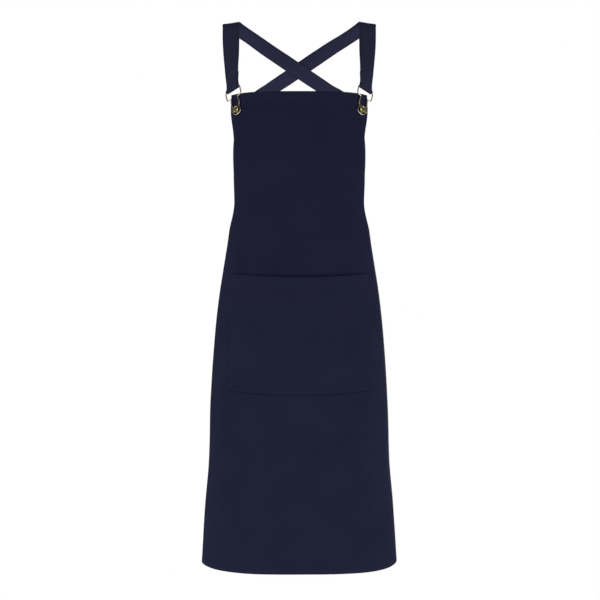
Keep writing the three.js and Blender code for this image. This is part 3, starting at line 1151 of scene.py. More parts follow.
@dataclass(frozen=True)
class ThreadFinish:
    """Sewing thread: plain colour with a fine twist."""

    name: str
    deep: Colour
    pale: Colour
    twist_scale: float = 2500.0
    twist_depth: float = 0.0001
    roughness: float = 0.8
    gloss: float = 0.08

    def build(self) -> bpy.types.Material:
        """Makes the material.

        Returns:
            The material, on Object coordinates.
        """
        nodes = ShaderNodes(self.name)
        fibres = nodes.noise(nodes.body(), self.twist_scale, 2.0)
        nodes.join(nodes.blend(fibres, self.deep, self.pale), nodes.shader.inputs["Base Color"])
        nodes.bump(fibres, self.twist_depth, 0.4)
        nodes.settings({"Roughness": self.roughness, "Specular IOR Level": self.gloss})
        return nodes.material


@dataclass(frozen=True)
class BrassFinish:
    """Brass with a thin brown patina and fine scratches."""

    name: str
    bright: Colour
    dull: Colour
    patina_scale: float = 240.0
    patina_range: tuple[float, float] = (0.38, 0.68)
    scratch_scale: float = 2600.0
    scratch_depth: float = 0.00004
    smoothest: float = 0.24
    patina_roughness: float = 0.18
    scratch_roughness: float = 0.12

    def build(self) -> bpy.types.Material:
        """Makes the material.

        Returns:
            The material, on Object coordinates.
        """
        nodes = ShaderNodes(self.name)
        body = nodes.body()
        patina = nodes.spread(nodes.noise(body, self.patina_scale, 4.0), *self.patina_range)
        nodes.join(nodes.blend(patina, self.bright, self.dull), nodes.shader.inputs["Base Color"])
        scratches = nodes.noise(body, self.scratch_scale, 2.0)
        roughness = nodes.math("MULTIPLY", patina, self.patina_roughness)
        roughness = nodes.math("ADD", roughness, nodes.math("MULTIPLY", scratches, self.scratch_roughness))
        nodes.join(nodes.math("ADD", roughness, self.smoothest), nodes.shader.inputs["Roughness"])
        nodes.bump(scratches, self.scratch_depth, 0.35)
        nodes.settings({"Metallic": 1.0})
        return nodes.material


@dataclass(frozen=True)
class StudioFinish:
    """The plain pale floor."""

    name: str = "pale_floor"
    colour: Colour = (0.93, 0.93, 0.93)

    def build(self) -> bpy.types.Material:
        """Makes the material.

        Returns:
            A matt material of one colour.
        """
        nodes = ShaderNodes(self.name)
        nodes.settings({"Base Color": (*self.colour, 1.0), "Roughness": 0.95, "Specular IOR Level": 0.1})
        return nodes.material


@dataclass(frozen=True)
class Finishes:
    """The materials that the pieces share."""

    navy: bpy.types.Material
    strap: bpy.types.Material
    thread: bpy.types.Material
    wire: bpy.types.Material
    button: bpy.types.Material


def settle(piece: bpy.types.Object, material: bpy.types.Material, slot: Slot, *nodes: str) -> None:
    """Gives a piece its material and its place in the frame.

    Args:
        piece: The finished piece.
        material: What it is made of.
        slot: The record's slot; not used.
        *nodes: CAD nodes that it stands for.
    """
    piece.data.materials.clear()
    piece.data.materials.append(material)
    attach(piece, "root")
    if nodes:
        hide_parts(*nodes)
    LOG.info("%s: %d faces", piece.name, len(piece.data.polygons))


@dataclass
class ApronPanel:
    """The one-piece bib and skirt, with folded hems on all of its edges."""

    pattern: Pattern
    drape: Drape
    face: float = 0.0014
    cloth_wall: float = 0.0009
    hem_wall: float = 0.0018
    hem_width: float = 0.0098
    hem_stitch: float = 0.0085
    top_hem_width: float = 0.0197
    top_hem_stitch: float = 0.0182
    hem_rise: float = 0.00012
    hem_blur: float = 0.0005
    rim_radius: float = 0.0011
    top_stitch_margin: float = 0.001
    pitch: float = 0.0038
    exact_reach: float = 0.015
    blend_reach: float = 0.060
    cloth_area: float = 0.46
    seams: SeamMarks = SeamMarks(groove_width=0.0009, pucker_depth=0.00022, seed=1.3)
    marks: WearMarks = WearMarks(
        edge=0.55, turned=0.28, ridge=0.2, ridge_place=0.0014, ridge_width=0.0008
    )
    edge_grading: tuple[float, ...] = (
        0.0, 0.0006, 0.0014, 0.0028, 0.0048, 0.0066, 0.0077, 0.0085, 0.0093, 0.0103, 0.0120, 0.0150,
    )
    top_grading: tuple[float, ...] = (
        0.0, 0.0006, 0.0014, 0.0030, 0.0065, 0.0105, 0.0145, 0.0172, 0.0182, 0.0192, 0.0203, 0.0225,
    )

    def __post_init__(self) -> None:
        """Keeps the worn form at hand."""
        self.form = self.pattern.form

    def dress(self, finishes: Finishes, seats: Sequence[Array]) -> None:
        """Builds the cloth and its stitches and gives them their materials.

        Args:
            finishes: The shared materials.
            seats: Lines of along and z where the straps are sewn on.
        """
        cloth = self.build()
        settle(cloth, finishes.navy, Slot.NAVY, "apron_panel")
        stitches = self.sew(seats)
        settle(stitches, finishes.thread, Slot.NAVY)

    def grid(self) -> tuple[Array, Array, Array]:
        """Lays out the panel's grid. The bib's columns go on down the skirt, between its two wings.

        Returns:
            Lengths along, heights, and which cells are cloth.
        """
        cut = self.pattern
        upper, bib = self.bib_rows()
        reach = cut.waist_half_width - cut.turn_along
        wing = cut.waist_half_width - graded(self.edge_grading, reach, self.pitch)[-2::-1]
        columns = np.concatenate([bib[-1], wing])
        level, lower = self.skirt_rows(columns)
        wings = np.broadcast_to(wing, (len(upper), len(wing)))
        upper_along = np.concatenate([bib, wings], axis=1)
        upper_z = np.broadcast_to(upper[:, None], upper_along.shape).copy()
        upper_z[-1] = level
        along = np.concatenate([upper_along, np.broadcast_to(columns, lower.shape)])
        z = np.concatenate([upper_z, lower])
        along = np.concatenate([-along[:, :0:-1], along], axis=1)
        z = np.concatenate([z[:, :0:-1], z], axis=1)
        cells = np.ones((along.shape[0] - 1, along.shape[1] - 1), dtype=bool)
        cells[: len(upper) - 1, : len(wing)] = False
        cells[: len(upper) - 1, -len(wing) :] = False
        return along, z, cells

    def bib_rows(self) -> tuple[Array, Array]:
        """Lays out the rows of the bib's right half, down to where the armhole runs at 45 degrees.

        Returns:
            The rows' heights, and the lengths along the cloth in each row.
        """
        cut = self.pattern
        inset = graded(self.edge_grading, cut.turn_along, self.pitch)[::-1]
        keep = 1.0 - smooth_step(inset, self.exact_reach, self.blend_reach)
        upper = cut.bib_top - graded(self.top_grading, cut.bib_top - cut.turn_level, self.pitch)
        half = cut.side_half(upper)
        slope = np.gradient(half, upper)
        stretch = np.sqrt(1.0 + slope * slope)
        stretch[-1] = math.sqrt(2.0)
        scaled = half[:, None] * (1.0 - inset / cut.turn_along)
        exact = half[:, None] - inset * stretch[:, None]
        bib = scaled * (1.0 - keep) + exact * keep
        bib[:, 0] = 0.0
        return upper, bib

    def skirt_rows(self, columns: Array) -> tuple[Array, Array]:
        """Lays out the skirt's rows, from the armhole's edge down to the hem.

        Args:
            columns: Lengths along the cloth.

        Returns:
            The height where each column starts, and the heights of the rows below it.
        """
        cut = self.pattern
        beside = columns > cut.turn_along
        level = np.where(beside, cut.armhole_level(columns), cut.turn_level)
        inside = cut.waist_half_width - columns
        drop = cut.armhole_drop * np.sqrt(1 - (inside / cut.armhole_width).clip(0, 1) ** 2)
        rise = inside * cut.armhole_drop**2 / np.maximum(drop * cut.armhole_width**2, 1e-9)
        steep = np.where(beside, np.sqrt(1.0 + rise * rise), math.sqrt(2.0))
        total = cut.turn_level - cut.hem_level
        down = graded_both(self.edge_grading, self.edge_grading, total, self.pitch)[1:, None]
        by_top = 1.0 - smooth_step(down, self.exact_reach, self.blend_reach)
        by_hem = 1.0 - smooth_step(total - down, self.exact_reach, self.blend_reach)
        even = level - (level - cut.hem_level) * down / total
        lower = even * (1 - by_top - by_hem) + (level - down * steep) * by_top
        return level, lower + (cut.hem_level + total - down) * by_hem

    def relief(self, along: Array, z: Array) -> tuple[Array, Array, Array, Array]:
        """Works out the panel's two faces.

        Args:
            along: Lengths round the form.
            z: Heights.

        Returns:
            Offsets of the outer and the inner face, the distance to the nearest edge, and wear.
        """
        side = self.pattern.edge_distance(along, z)
        top = self.pattern.bib_top - z
        hem = np.maximum(
            within(side, self.hem_width, self.hem_blur), within(top, self.top_hem_width, self.hem_blur)
        )
        off = np.minimum(np.abs(side - self.hem_stitch), np.abs(top - self.top_hem_stitch))
        middle = self.face + self.drape.lift(along, z)
        outer = middle + self.hem_rise * hem + self.seams.relief(along, z, off)
        inner = middle - self.cloth_wall - (self.hem_wall - self.cloth_wall) * hem
        edge = np.minimum(side, top)
        wear = self.marks.at(edge, hem, off, bell(off, self.seams.groove_width))
        return outer, inner, edge, wear

    def outer_point(self, along: Array, z: Array) -> tuple[Array, Array]:
        """Points on the outside of the cloth.

        Args:
            along: Lengths round the form.
            z: Heights.

        Returns:
            The points and the ways out.
        """
        outer = self.relief(along, z)[0]
        return self.form.place(along, z, outer), self.form.frames(along, z)[2]

    def build(self) -> bpy.types.Object:
        """Makes the cloth.

        Returns:
            The panel's object.
        """
        along, z, cells = self.grid()
        outer, inner, edge, wear = self.relief(along, z)
        middle = (outer + inner) / 2
        half = (outer - inner) / 2 * rim_share(edge, self.rim_radius)
        wall = Wall(
            outer=self.form.place(along, z, middle + half),
            inner=self.form.place(along, z, middle - half),
            uv=np.stack([along, z], axis=-1),
            wear=wear,
            cells=cells,
        )
        return wall.build("panel_cloth")

    def sew(self, seats: Sequence[Array]) -> bpy.types.Object:
        """Lays the stitches of the hems and of the strap seats.

        Args:
            seats: Closed lines of along and z where the straps are sewn on.

        Returns:
            The stitches' object.
        """
        work = StitchWork("panel_stitches")
        lines = []
        for name, line in self.pattern.edge_lines(self.hem_stitch).items():
            if name == "hem":
                lines.append(np.concatenate([line, line[-2::-1] * (-1, 1)]))
            else:
                lines += [line * (side.value, 1) for side in Side]
        top = self.pattern.bib_top - self.top_hem_stitch
        half = float(self.pattern.side_half(np.array(top))) - self.top_stitch_margin
        lines.append(np.array([[-half, top], [half, top]]))
        for line in [*lines, *seats]:
            places = self.fine(line)
            points, outs = self.outer_point(places[:, 0], places[:, 1])
            work.run(points, outs)
        for line in lines:
            places = self.fine(line)
            inner = self.relief(places[:, 0], places[:, 1])[1]
            outs = self.form.frames(places[:, 0], places[:, 1])[2]
            work.run(self.form.place(places[:, 0], places[:, 1], inner), -outs)
        return work.build()

    @staticmethod
    def fine(line: Array, pitch: float = 0.001) -> Array:
        """The same line with close points.

        Args:
            line: Corner points of along and z.
            pitch: About how far apart the close points are.

        Returns:
            Close points.
        """
        steps = np.linalg.norm(np.diff(line, axis=0), axis=1)
        lengths = np.concatenate([[0.0], np.cumsum(steps)])
        at = np.linspace(0.0, lengths[-1], max(2, round(lengths[-1] / pitch)))
        return np.stack([np.interp(at, lengths, line[:, axis]) for axis in range(2)], axis=-1)


@dataclass
class Pocket:
    """The wide patch pocket, sewn down on three sides and gaping at its mouth."""

    panel: ApronPanel
    half_width: float = 0.133
    height: float = 0.212
    mouth_drop: float = 0.326
    mouth_sag: float = 0.007
    bottom_sag: float = 0.006
    gape: float = 0.0086
    gape_skew: float = 0.3
    gape_flatness: int = 4
    gape_fade: float = 1.6
    seat: float = 0.00015
    cloth_wall: float = 0.0009
    seam_wall: float = 0.0016
    seam_width: float = 0.0092
    seam_blur: float = 0.0008
    seam_radius: float = 0.0014
    seam_start: float = 0.004
    outer_stitch: float = 0.0020
    inner_stitch: float = 0.0080
    mouth_hem: float = 0.0246
    mouth_blur: float = 0.0006
    mouth_radius: float = 0.0009
    mouth_stitch: float = 0.0232
    belly: float = 0.0006
    belly_rise: tuple[float, float] = (0.01, 0.06)
    ripple_depth: float = 0.0006
    ripple_size: float = 0.045
    ripple_seed: float = 2.9
    ripple_rise: tuple[float, float] = (0.004, 0.05)
    # Painted shade darkens the cloth along its sewn seams, and a painted shadow darkens the edge of its
    # mouth, stronger to the right.
    seam_painted_shade: float = 0.6
    seam_painted_shade_width: float = 0.0013
    mouth_painted_shadow: float = 0.7
    mouth_painted_shadow_width: float = 0.0021
    mouth_painted_shadow_skew: float = 0.4
    weave_shift: float = 0.0003
    tack_rows: int = 4
    tack_drop: float = 0.0022
    tack_pitch: float = 0.0007
    tack_margin: float = 0.0004
    tack_points: int = 12
    side_points: int = 200
    foot_points: int = 240
    pitch: float = 0.0034
    cloth_area: float = 0.0567
    seams: SeamMarks = SeamMarks(groove_width=0.0008, pucker_depth=0.00020, seed=8.1)
    marks: WearMarks = WearMarks(edge=0.2, turned=0.22)
    side_grading: tuple[float, ...] = (
        0.0, 0.0006, 0.0013, 0.0020, 0.0027, 0.0042, 0.0060, 0.0072, 0.0080, 0.0088, 0.0104, 0.0130,
    )
    mouth_grading: tuple[float, ...] = (
        0.0, 0.0006, 0.0014, 0.0030, 0.0075, 0.0125, 0.0175, 0.0222, 0.0232, 0.0242, 0.0256, 0.0280,
    )

    def __post_init__(self) -> None:
        """Finds the level of the mouth's ends."""
        self.form = self.panel.form
        self.mouth_level = self.form.bib_top - self.mouth_drop

    def dress(self, finishes: Finishes) -> None:
        """Builds the cloth and its stitches and gives them their materials.

        Args:
            finishes: The shared materials.
        """
        cloth = self.build()
        settle(cloth, finishes.navy, Slot.NAVY, "pocket")
        stitches = self.sew()
        settle(stitches, finishes.thread, Slot.NAVY)

    def place(self, across: Array, down: Array) -> tuple[Array, Array]:
        """Where a place on the pocket lies on the pattern.

        Args:
            across: From -1 at the left side to 1 at the right side.
            down: From 0 at the mouth to 1 at the bottom.

        Returns:
            Lengths along and heights.
        """
        sag = (1 - across**2) * (self.mouth_sag * (1 - down) + self.bottom_sag * down)
        return across * self.half_width, self.mouth_level - self.height * down - sag

    def edges(self, across: Array, down: Array) -> tuple[Array, Array]:
        """Distances to the pocket's edges.

        Args:
            across: From -1 to 1.
            down: From 0 to 1.

        Returns:
            Distances to the nearest sewn edge, and to the mouth.
        """
        side = (1 - np.abs(across)) * self.half_width
        return np.minimum(side, (1 - down) * self.height), down * self.height

    def relief(self, across: Array, down: Array) -> tuple[Array, Array, Array]:
        """Works out the pocket's two faces.

        Args:
            across: From -1 to 1.
            down: From 0 to 1.

        Returns:
            Offsets of the outer and inner face, and wear.
        """
        along, z = self.place(across, down)
        seam, mouth = self.edges(across, down)
        gape = self.gape * (1 - across**self.gape_flatness) * (1 + self.gape_skew * across)
        gape = gape * (1 - down) ** self.gape_fade
        turned = np.maximum(
            within(seam, self.seam_width, self.seam_blur), within(mouth, self.mouth_hem, self.mouth_blur)
        )
        off = np.minimum(np.abs(seam - self.outer_stitch), np.abs(seam - self.inner_stitch))
        off = np.minimum(off, np.abs(mouth - self.mouth_stitch))
        ripple = soft_noise(along, z, self.ripple_size, self.ripple_seed)
        ripple = self.ripple_depth * ripple * smooth_step(seam, *self.ripple_rise)
        belly = self.belly * smooth_step(seam, *self.belly_rise)
        skirt = self.panel.face + self.panel.hem_rise + self.panel.drape.lift(along, z)
        inner = skirt + self.seat + gape + belly + ripple
        wall = self.cloth_wall + (self.seam_wall - self.cloth_wall) * turned
        outer = inner + wall + self.seams.relief(along, z, off)
        return outer, inner, self.marks.at(mouth, turned, off, bell(off, self.seams.groove_width))

    def build(self) -> bpy.types.Object:
        """Makes the cloth, with painted shade in the creases along its seams and a painted shadow along its
        mouth.

        Returns:
            The pocket's object.
        """
        sides = graded_both(self.side_grading, self.side_grading, 2 * self.half_width, self.pitch)
        levels = graded_both(self.mouth_grading, self.side_grading, self.height, self.pitch)
        across, down = np.meshgrid(sides / self.half_width - 1, levels / self.height)
        along, z = self.place(across, down)
        outer, inner, wear = self.relief(across, down)
        seam, mouth = self.edges(across, down)
        rolled = outer - (outer - inner) * (1 - rim_share(seam, self.seam_radius))
        middle = (rolled + inner) / 2
        half = (rolled - inner) / 2 * rim_share(mouth, self.mouth_radius)
        # Painted shadow along the mouth's edge, stronger to the right, and painted shade along the seams,
        # both kept in the shade attribute.
        skew = 1 - self.mouth_painted_shadow_skew + self.mouth_painted_shadow_skew * across
        rim = self.mouth_painted_shadow * (1 - across**2) * skew * bell(mouth, self.mouth_painted_shadow_width)
        cloth = Wall(
            outer=self.form.place(along, z, middle + half),
            inner=self.form.place(along, z, middle - half),
            uv=np.stack([along + self.weave_shift, z], axis=-1),
            wear=wear,
            shade=1.0 - self.seam_painted_shade * bell(seam, self.seam_painted_shade_width) - rim,
        )
        return cloth.build("pocket_cloth")

    def sew(self) -> bpy.types.Object:
        """Lays the double seam, the mouth's hem and the bar tacks at its corners.

        Returns:
            The stitches' object.
        """
        work = StitchWork("pocket_stitches")
        for inset in (self.outer_stitch, self.inner_stitch):
            edge = 1 - inset / self.half_width
            foot = 1 - inset / self.height
            fall = np.linspace(self.seam_start, foot, self.side_points)
            side = np.full(self.side_points, edge)
            across = np.concatenate([-side, np.linspace(-edge, edge, self.foot_points), side])
            down = np.concatenate([fall, np.full(self.foot_points, foot), fall[::-1]])
            self.lay(work, across, down)
        reach = 1 - self.inner_stitch / self.half_width
        line = np.linspace(-reach, reach, self.foot_points)
        self.lay(work, line, np.full(self.foot_points, self.mouth_stitch / self.height))
        start = 1 - (self.outer_stitch - self.tack_margin) / self.half_width
        end = 1 - (self.inner_stitch + self.tack_margin) / self.half_width
        for side in Side:
            for row in range(self.tack_rows):
                level = (self.tack_drop + self.tack_pitch * row) / self.height
                tack = side.value * np.linspace(start, end, self.tack_points)
                self.lay(work, tack, np.full(self.tack_points, level))
        return work.build()

    def lay(self, work: StitchWork, across: Array, down: Array) -> None:
        """Lays one line of stitches on the pocket.

        Args:
            work: What collects the stitches.
            across: Places from -1 to 1.
            down: Places from 0 to 1.
        """
        along, z = self.place(across, down)
        outer = self.relief(across, down)[0]
        work.run(self.form.place(along, z, outer), self.form.frames(along, z)[2])


@dataclass
class ClipFrame:
    """The axes of one clip and its button, at the button's stem, and the sizes that they share."""

    pattern: Pattern
    side: Side
    face: float = 0.0014
    tilt: float = math.radians(20)
    rise_height: float = 0.0453
    wire_radius: float = 0.0011
    stem_radius: float = 0.004
    gap: float = 0.0003

    def __post_init__(self) -> None:
        """Finds the axes."""
        form = self.pattern.form
        along = np.array(self.side.value * self.pattern.button_across)
        z = np.array(form.bib_top - self.pattern.button_drop)
        sideways, up, self.out = form.frames(along, z)
        self.place = form.place(along, z, self.face)
        self.bar = -self.side.value * sideways * math.cos(self.tilt) + up * math.sin(self.tilt)
        self.rise = unit(-self.side.value * np.cross(self.out, self.bar))
        self.wire_height = self.gap + self.wire_radius

    def point(self, across: float, up: float, outwards: float) -> Array:
        """A point given along the clip's own axes."""
        return self.place + self.bar * across + self.rise * up + self.out * outwards


class RouteCurve:
    """A smooth curve through points, with its bends eased by their spacing."""

    def __init__(self, points: Array) -> None:
        """Keeps the points, with one more beyond each end.

        Args:
            points: The points in order.
        """
        first = 2 * points[0] - points[1]
        last = 2 * points[-1] - points[-2]
        self.spans = len(points) - 1
        self.points = np.vstack([first, points, last])

    def at(self, share: Array) -> Array:
        """Points of the curve.

        Args:
            share: Places from 0 to 1.

        Returns:
            The points.
        """
        place = np.clip(share, 0.0, 1.0) * self.spans
        i = np.minimum(place.astype(int), self.spans - 1)
        w = (place - i)[:, None]
        p0, p1, p2, p3 = (self.points[i + k] for k in range(4))
        d0, d1, d2 = (
            np.sqrt(np.linalg.norm(b - a, axis=1))[:, None] for a, b in ((p0, p1), (p1, p2), (p2, p3))
        )
        start = ((p1 - p0) / d0 - (p2 - p0) / (d0 + d1) + (p2 - p1) / d1) * d1
        end = ((p2 - p1) / d1 - (p3 - p1) / (d1 + d2) + (p3 - p2) / d2) * d1
        return between(p1, p2, start, end, w)

    def even(self, pitch: float) -> tuple[Array, Array]:
        """Evenly spaced places on the curve.

        Args:
            pitch: About how far apart they are.

        Returns:
            Their shares and their lengths from the start.
        """
        shares = np.linspace(0.0, 1.0, 4000)
        steps = np.linalg.norm(np.diff(self.at(shares), axis=0), axis=1)
        lengths = np.concatenate([[0.0], np.cumsum(steps)])
        at = np.linspace(0.0, lengths[-1], max(2, round(lengths[-1] / pitch)))
        return np.interp(at, lengths, shares), at


@dataclass
class StrapLine:
    """Stations of a strap from the end of its tail, round the bar and down to its seat."""

    place: Array
    way: Array
    across: Array
    out: Array
    length: Array
    lift: Array
    seat: Array
    end: Array

    def pick(self, numbers: Array) -> StrapLine:
        """The chosen stations only."""
        return StrapLine(*(getattr(self, part.name)[numbers] for part in fields(self)))

    @staticmethod
    def joined(lines: Sequence[StrapLine]) -> StrapLine:
        """Joins lines of stations.

        Args:
            lines: The lines, one after the other.

        Returns:
            One line of all their stations.
        """
        names = [part.name for part in fields(StrapLine)]
        return StrapLine(*(np.concatenate([getattr(line, name) for line in lines]) for name in names))


@dataclass
class Strap:
    """One strap: folded over the clip's bar, over the shoulder, across the back to a waist corner."""

    pattern: Pattern
    clip: ClipFrame
    width: float = 0.032
    solid_wall: float = 0.002
    wall: float = 0.0019
    shoulder_spread: float = 0.1286
    reach: float = 0.122
    tail_length: float = 0.042
    tail_narrowing: float = 0.08
    tail_taper: float = 0.012
    tail_rows: tuple[float, float] = (0.026, 0.032)
    seat_length: float = 0.046
    corner_margin: float = 0.009
    cross_rise: float = 0.0012
    cross_reach: int = 2
    fold_narrowing: float = 0.07
    fold_reach: float = 0.016
    fold_turns: int = 14
    bar_reach: float = 0.010
    edge_stitch: float = 0.0025
    end_margin: float = 0.003
    box_margin: float = 0.004
    box_drop: float = 0.012
    box_length: float = 0.026
    groove_width: float = 0.0008
    groove_depth: float = 0.00024
    ripple_depth: float = 0.00035
    ripple_size: float = 0.024
    ripple_seed: float = 3.3
    ripple_rise: tuple[float, float] = (0.02, 0.06)
    crown_height: float = 0.00012
    crown_rise: tuple[float, float] = (0.003, 0.010)
    rim_radius: float = 0.0009
    approach: float = 0.35
    # Painted light: the face away from the wearer is painted at this share of the face toward the wearer,
    # so the crossing seen from the front looks more lit than the front straps.
    inner_painted_shade: float = 0.76
    pitch: float = 0.0025
    across_pitch: float = 0.004
    row_points: int = 30
    marks: WearMarks = WearMarks(edge=0.7, edge_width=0.0012, ridge=0.22, ridge_place=0.004)
    edge_grading: tuple[float, ...] = (0.0, 0.0004, 0.0010, 0.0018, 0.0025, 0.0032, 0.0044, 0.0066)

    def __post_init__(self) -> None:
        """Finds the strap's seat."""
        cut = self.pattern
        self.form = cut.form
        self.side = self.clip.side
        self.waist_drop = cut.armhole_drop - cut.armhole_top
        self.seat_along = -self.side.value * (cut.waist_half_width - self.corner_margin - self.width / 2)
        self.inside = -(2 * self.clip.gap + self.solid_wall / 2)

    def dress(self, finishes: Finishes) -> None:
        """Builds the strap and its stitches and gives them their materials.

        Args:
            finishes: The shared materials.
        """
        settle(self.build(), finishes.strap, Slot.STRAP, f"{self.side.word}_strap")
        settle(self.sew(), finishes.thread, Slot.STRAP)

    def route(self) -> tuple[Array, Array]:
        """The points that the strap's middle passes and the ways that its face looks there.

        Returns:
            The points and the faces.
        """
        lift = self.side.value * (self.solid_wall + 2 * self.clip.gap) / 2
        points = [self.clip.point(0.0, self.clip.rise_height, self.clip.wire_height)]
        faces = [self.clip.out]
        for number, row in enumerate(STRAP_ROWS):
            face = unit(np.array([self.side.value * row.face_out, row.face_back, row.face_up]))
            point = np.array(
                [
                    self.side.value * row.side * self.shoulder_spread,
                    row.back * self.reach,
                    self.solid_wall / 2 - row.down * self.waist_drop,
                ]
            )
            if abs(number - CROSSING_ROW) <= self.cross_reach:
                rise = self.cross_rise if self.side is Side.RIGHT else 0.0
                point = point + face * lift + np.array([0.0, -face[2], face[1]]) * rise
            points.append(point)
            faces.append(face)
        top = float(self.pattern.armhole_level(np.array(self.seat_along)))
        for share in (-self.approach, 0.0, 0.5, 1.0):
            z = np.array(top - self.seat_length * share)
            along = np.array(self.seat_along)
            points.append(self.form.place(along, z, self.inside))
            faces.append(self.form.frames(along, z)[2])
        return np.array(points), np.array(faces)

    def run(self) -> StrapLine:
        """Works out the stations from the bar to the end at the waist corner.

        Returns:
            The stations, evenly spaced.
        """
        points, faces = self.route()
        curve = RouteCurve(points)
        share, length = curve.even(self.pitch)
        nudge = 1e-4
        way = unit(curve.at(share + nudge) - curve.at(share - nudge))
        station = share * curve.spans
        i = np.minimum(station.astype(int), curve.spans - 1)
        blend = (station - i)[:, None]
        face = faces[i] * (1 - blend) + faces[i + 1] * blend
        free = smooth_step(length, 0.0, self.bar_reach)[:, None]
        bar = -self.side.value * self.clip.bar
        across = unit(bar * (1 - free) + unit(np.cross(way, face)) * free)
        out = unit(np.cross(across, way))
        seat = smooth_step(station, curve.spans - 3.0, curve.spans - 2.0)
        to_end = length[-1] - length
        return StrapLine(curve.at(share), way, across, out, length, self.lift(length), seat, to_end)

    def line(self) -> StrapLine:
        """Adds the strap's tail and its fold round the bar to its run.

        Returns:
            All of its stations, closer together round the bar.
        """
        run = self.run()
        behind = np.flatnonzero((run.length > 0) & (run.length <= self.tail_length))[::-1]
        tail = run.pick(behind)
        tail.out = -tail.out
        taper = 1 - self.tail_narrowing * smooth_step(tail.length, 0.0, self.tail_taper)
        tail.across = tail.across * taper[:, None]
        tail.end = self.tail_length - tail.length
        tail.seat = tail.seat * 0
        fold = run.pick(np.zeros(self.fold_turns, dtype=int))
        turn = np.linspace(0.0, math.pi, self.fold_turns)[:, None]
        fold.out = -run.out[0] * np.cos(turn) - run.way[0] * np.sin(turn)
        return StrapLine.joined([tail, fold, run.pick(np.arange(1, len(run.length)))])

    def lift(self, length: Array) -> Array:
        """How far the strap stands off its route beside its tail.

        Args:
            length: Lengths from the bar.

        Returns:
            Distances.
        """
        fold = self.clip.wire_height + self.solid_wall / 2
        beside = (self.solid_wall + self.clip.gap) / 2
        near = fold + (beside - fold) * smooth_step(length, 0.0, self.fold_reach)
        return near * (1 - smooth_step(length, self.tail_length, 2 * self.tail_length))

    def layer(self, line: StrapLine, offset: Array, outwards: Array) -> Array:
        """Points of the strap.

        Args:
            line: The stations.
            offset: Places across the strap, from its middle.
            outwards: Distances along the face, a row for each station.

        Returns:
            A grid of points.
        """
        narrowed = 1 - self.fold_narrowing * (1 - smooth_step(line.length, 0.0, self.fold_reach))[:, None]
        sideways = offset * narrowed
        raised = (line.lift[:, None] + outwards)[..., None]
        free = line.place[:, None] + line.across[:, None] * sideways[..., None] + line.out[:, None] * raised
        along = self.seat_along - sideways
        z = np.broadcast_to(line.place[:, 2:3], along.shape)
        seated = self.form.place(along, np.minimum(z, self.form.bib_top), self.inside + outwards)
        share = line.seat[:, None, None]
        return free * (1 - share) + seated * share

    def build(self) -> bpy.types.Object:
        """Makes the strap's cloth. The wall's inner grid is the face that looks away from the wearer,
        painted darker than the face toward the wearer.

        Returns:
            The strap's object.
        """
        line = self.line()
        half = self.width / 2
        inset = graded(self.edge_grading, half, self.across_pitch)
        offset = np.concatenate([inset - half, (half - inset)[-2::-1]])
        edge = half - np.abs(offset)
        length, across = np.broadcast_arrays(line.length[:, None], offset)
        sign = np.where(np.arange(len(line.length)) < np.argmin(line.length), -1.0, 1.0)[:, None]
        ripple = soft_noise(length, across, self.ripple_size, self.ripple_seed + self.side.value)
        ripple = self.ripple_depth * ripple * smooth_step(line.end, *self.ripple_rise)[:, None] * sign
        groove = bell(edge - self.edge_stitch, self.groove_width)
        crown = self.crown_height * smooth_step(edge, *self.crown_rise)
        thick = (self.wall / 2 - self.groove_depth * groove + crown) * rim_share(edge, self.rim_radius)
        thick = thick * rim_share(line.end[:, None], self.rim_radius)
        cloth = Wall(
            outer=self.layer(line, offset, ripple - thick),
            inner=self.layer(line, offset, ripple + thick),
            uv=np.stack([across, length * sign], axis=-1),
            wear=np.broadcast_to(self.marks.at(edge, 0.0, edge, groove), length.shape),
            inner_painted_shade=self.inner_painted_shade,
        )
        return cloth.build(f"{self.side.word}_strap_cloth")

    def sew(self) -> bpy.types.Object:
        """Lays the strap's edge stitching and the rows that hold its tail.

        Returns:
            The stitches' object.
        """
        work = StitchWork(f"{self.side.word}_strap_stitches")
        line = self.line()
        bar = int(np.argmin(line.length))
        free = line.pick(bar + np.flatnonzero(line.end[bar:] > self.end_margin))
        half = self.width / 2 - self.edge_stitch
        skin = self.wall / 2
        for edge in (-half, half):
            for face in (1.0, -1.0):
                shown = free.pick(np.flatnonzero((face > 0) | (free.length > self.tail_length)))
                raised = np.full((len(shown.length), 1), face * skin)
                work.run(self.layer(shown, np.array([edge]), raised)[:, 0], face * shown.out)
        offset = np.linspace(-half, half, self.row_points)
        for distance in self.tail_rows:
            for first, part in ((bar, line.length[bar:]), (0, line.length[:bar])):
                row = line.pick(np.full(1, first + int(np.argmin(np.abs(part - distance)))))
                points = self.layer(row, offset, np.full((1, self.row_points), skin))[0]
                work.run(points, np.repeat(row.out, self.row_points, axis=0))
        return work.build()

    def seat_line(self) -> list[Array]:
        """The box and cross that sew the strap to the waist corner.

        Returns:
            Lines of along and z.
        """
        half = self.width / 2 - self.box_margin
        top = float(self.pattern.armhole_level(np.array(self.seat_along))) - self.box_drop
        foot = top - self.box_length
        left, right = self.seat_along - half, self.seat_along + half
        box = np.array([[left, top], [right, top], [right, foot], [left, foot], [left, top]])
        return [box, np.array([[left, top], [right, foot]]), np.array([[right, top], [left, foot]])]


def deselect() -> None:
    """Leaves edit mode and deselects every object."""
    if bpy.context.mode != "OBJECT":
        bpy.ops.object.mode_set(mode="OBJECT")
    bpy.ops.object.select_all(action="DESELECT")


def pick_faces(piece: bpy.types.Object, wanted: Callable[[bmesh.types.BMFace], bool]) -> None:
    """Selects faces of the piece in edit mode.

    Args:
        piece: The piece that is edited.
        wanted: Tells which faces to select.
    """
    bpy.ops.mesh.select_mode(type="FACE")
    bpy.ops.mesh.select_all(action="DESELECT")
    mesh = bmesh.from_edit_mesh(piece.data)
    for face in mesh.faces:
        face.select_set(wanted(face))
    bmesh.update_edit_mesh(piece.data)


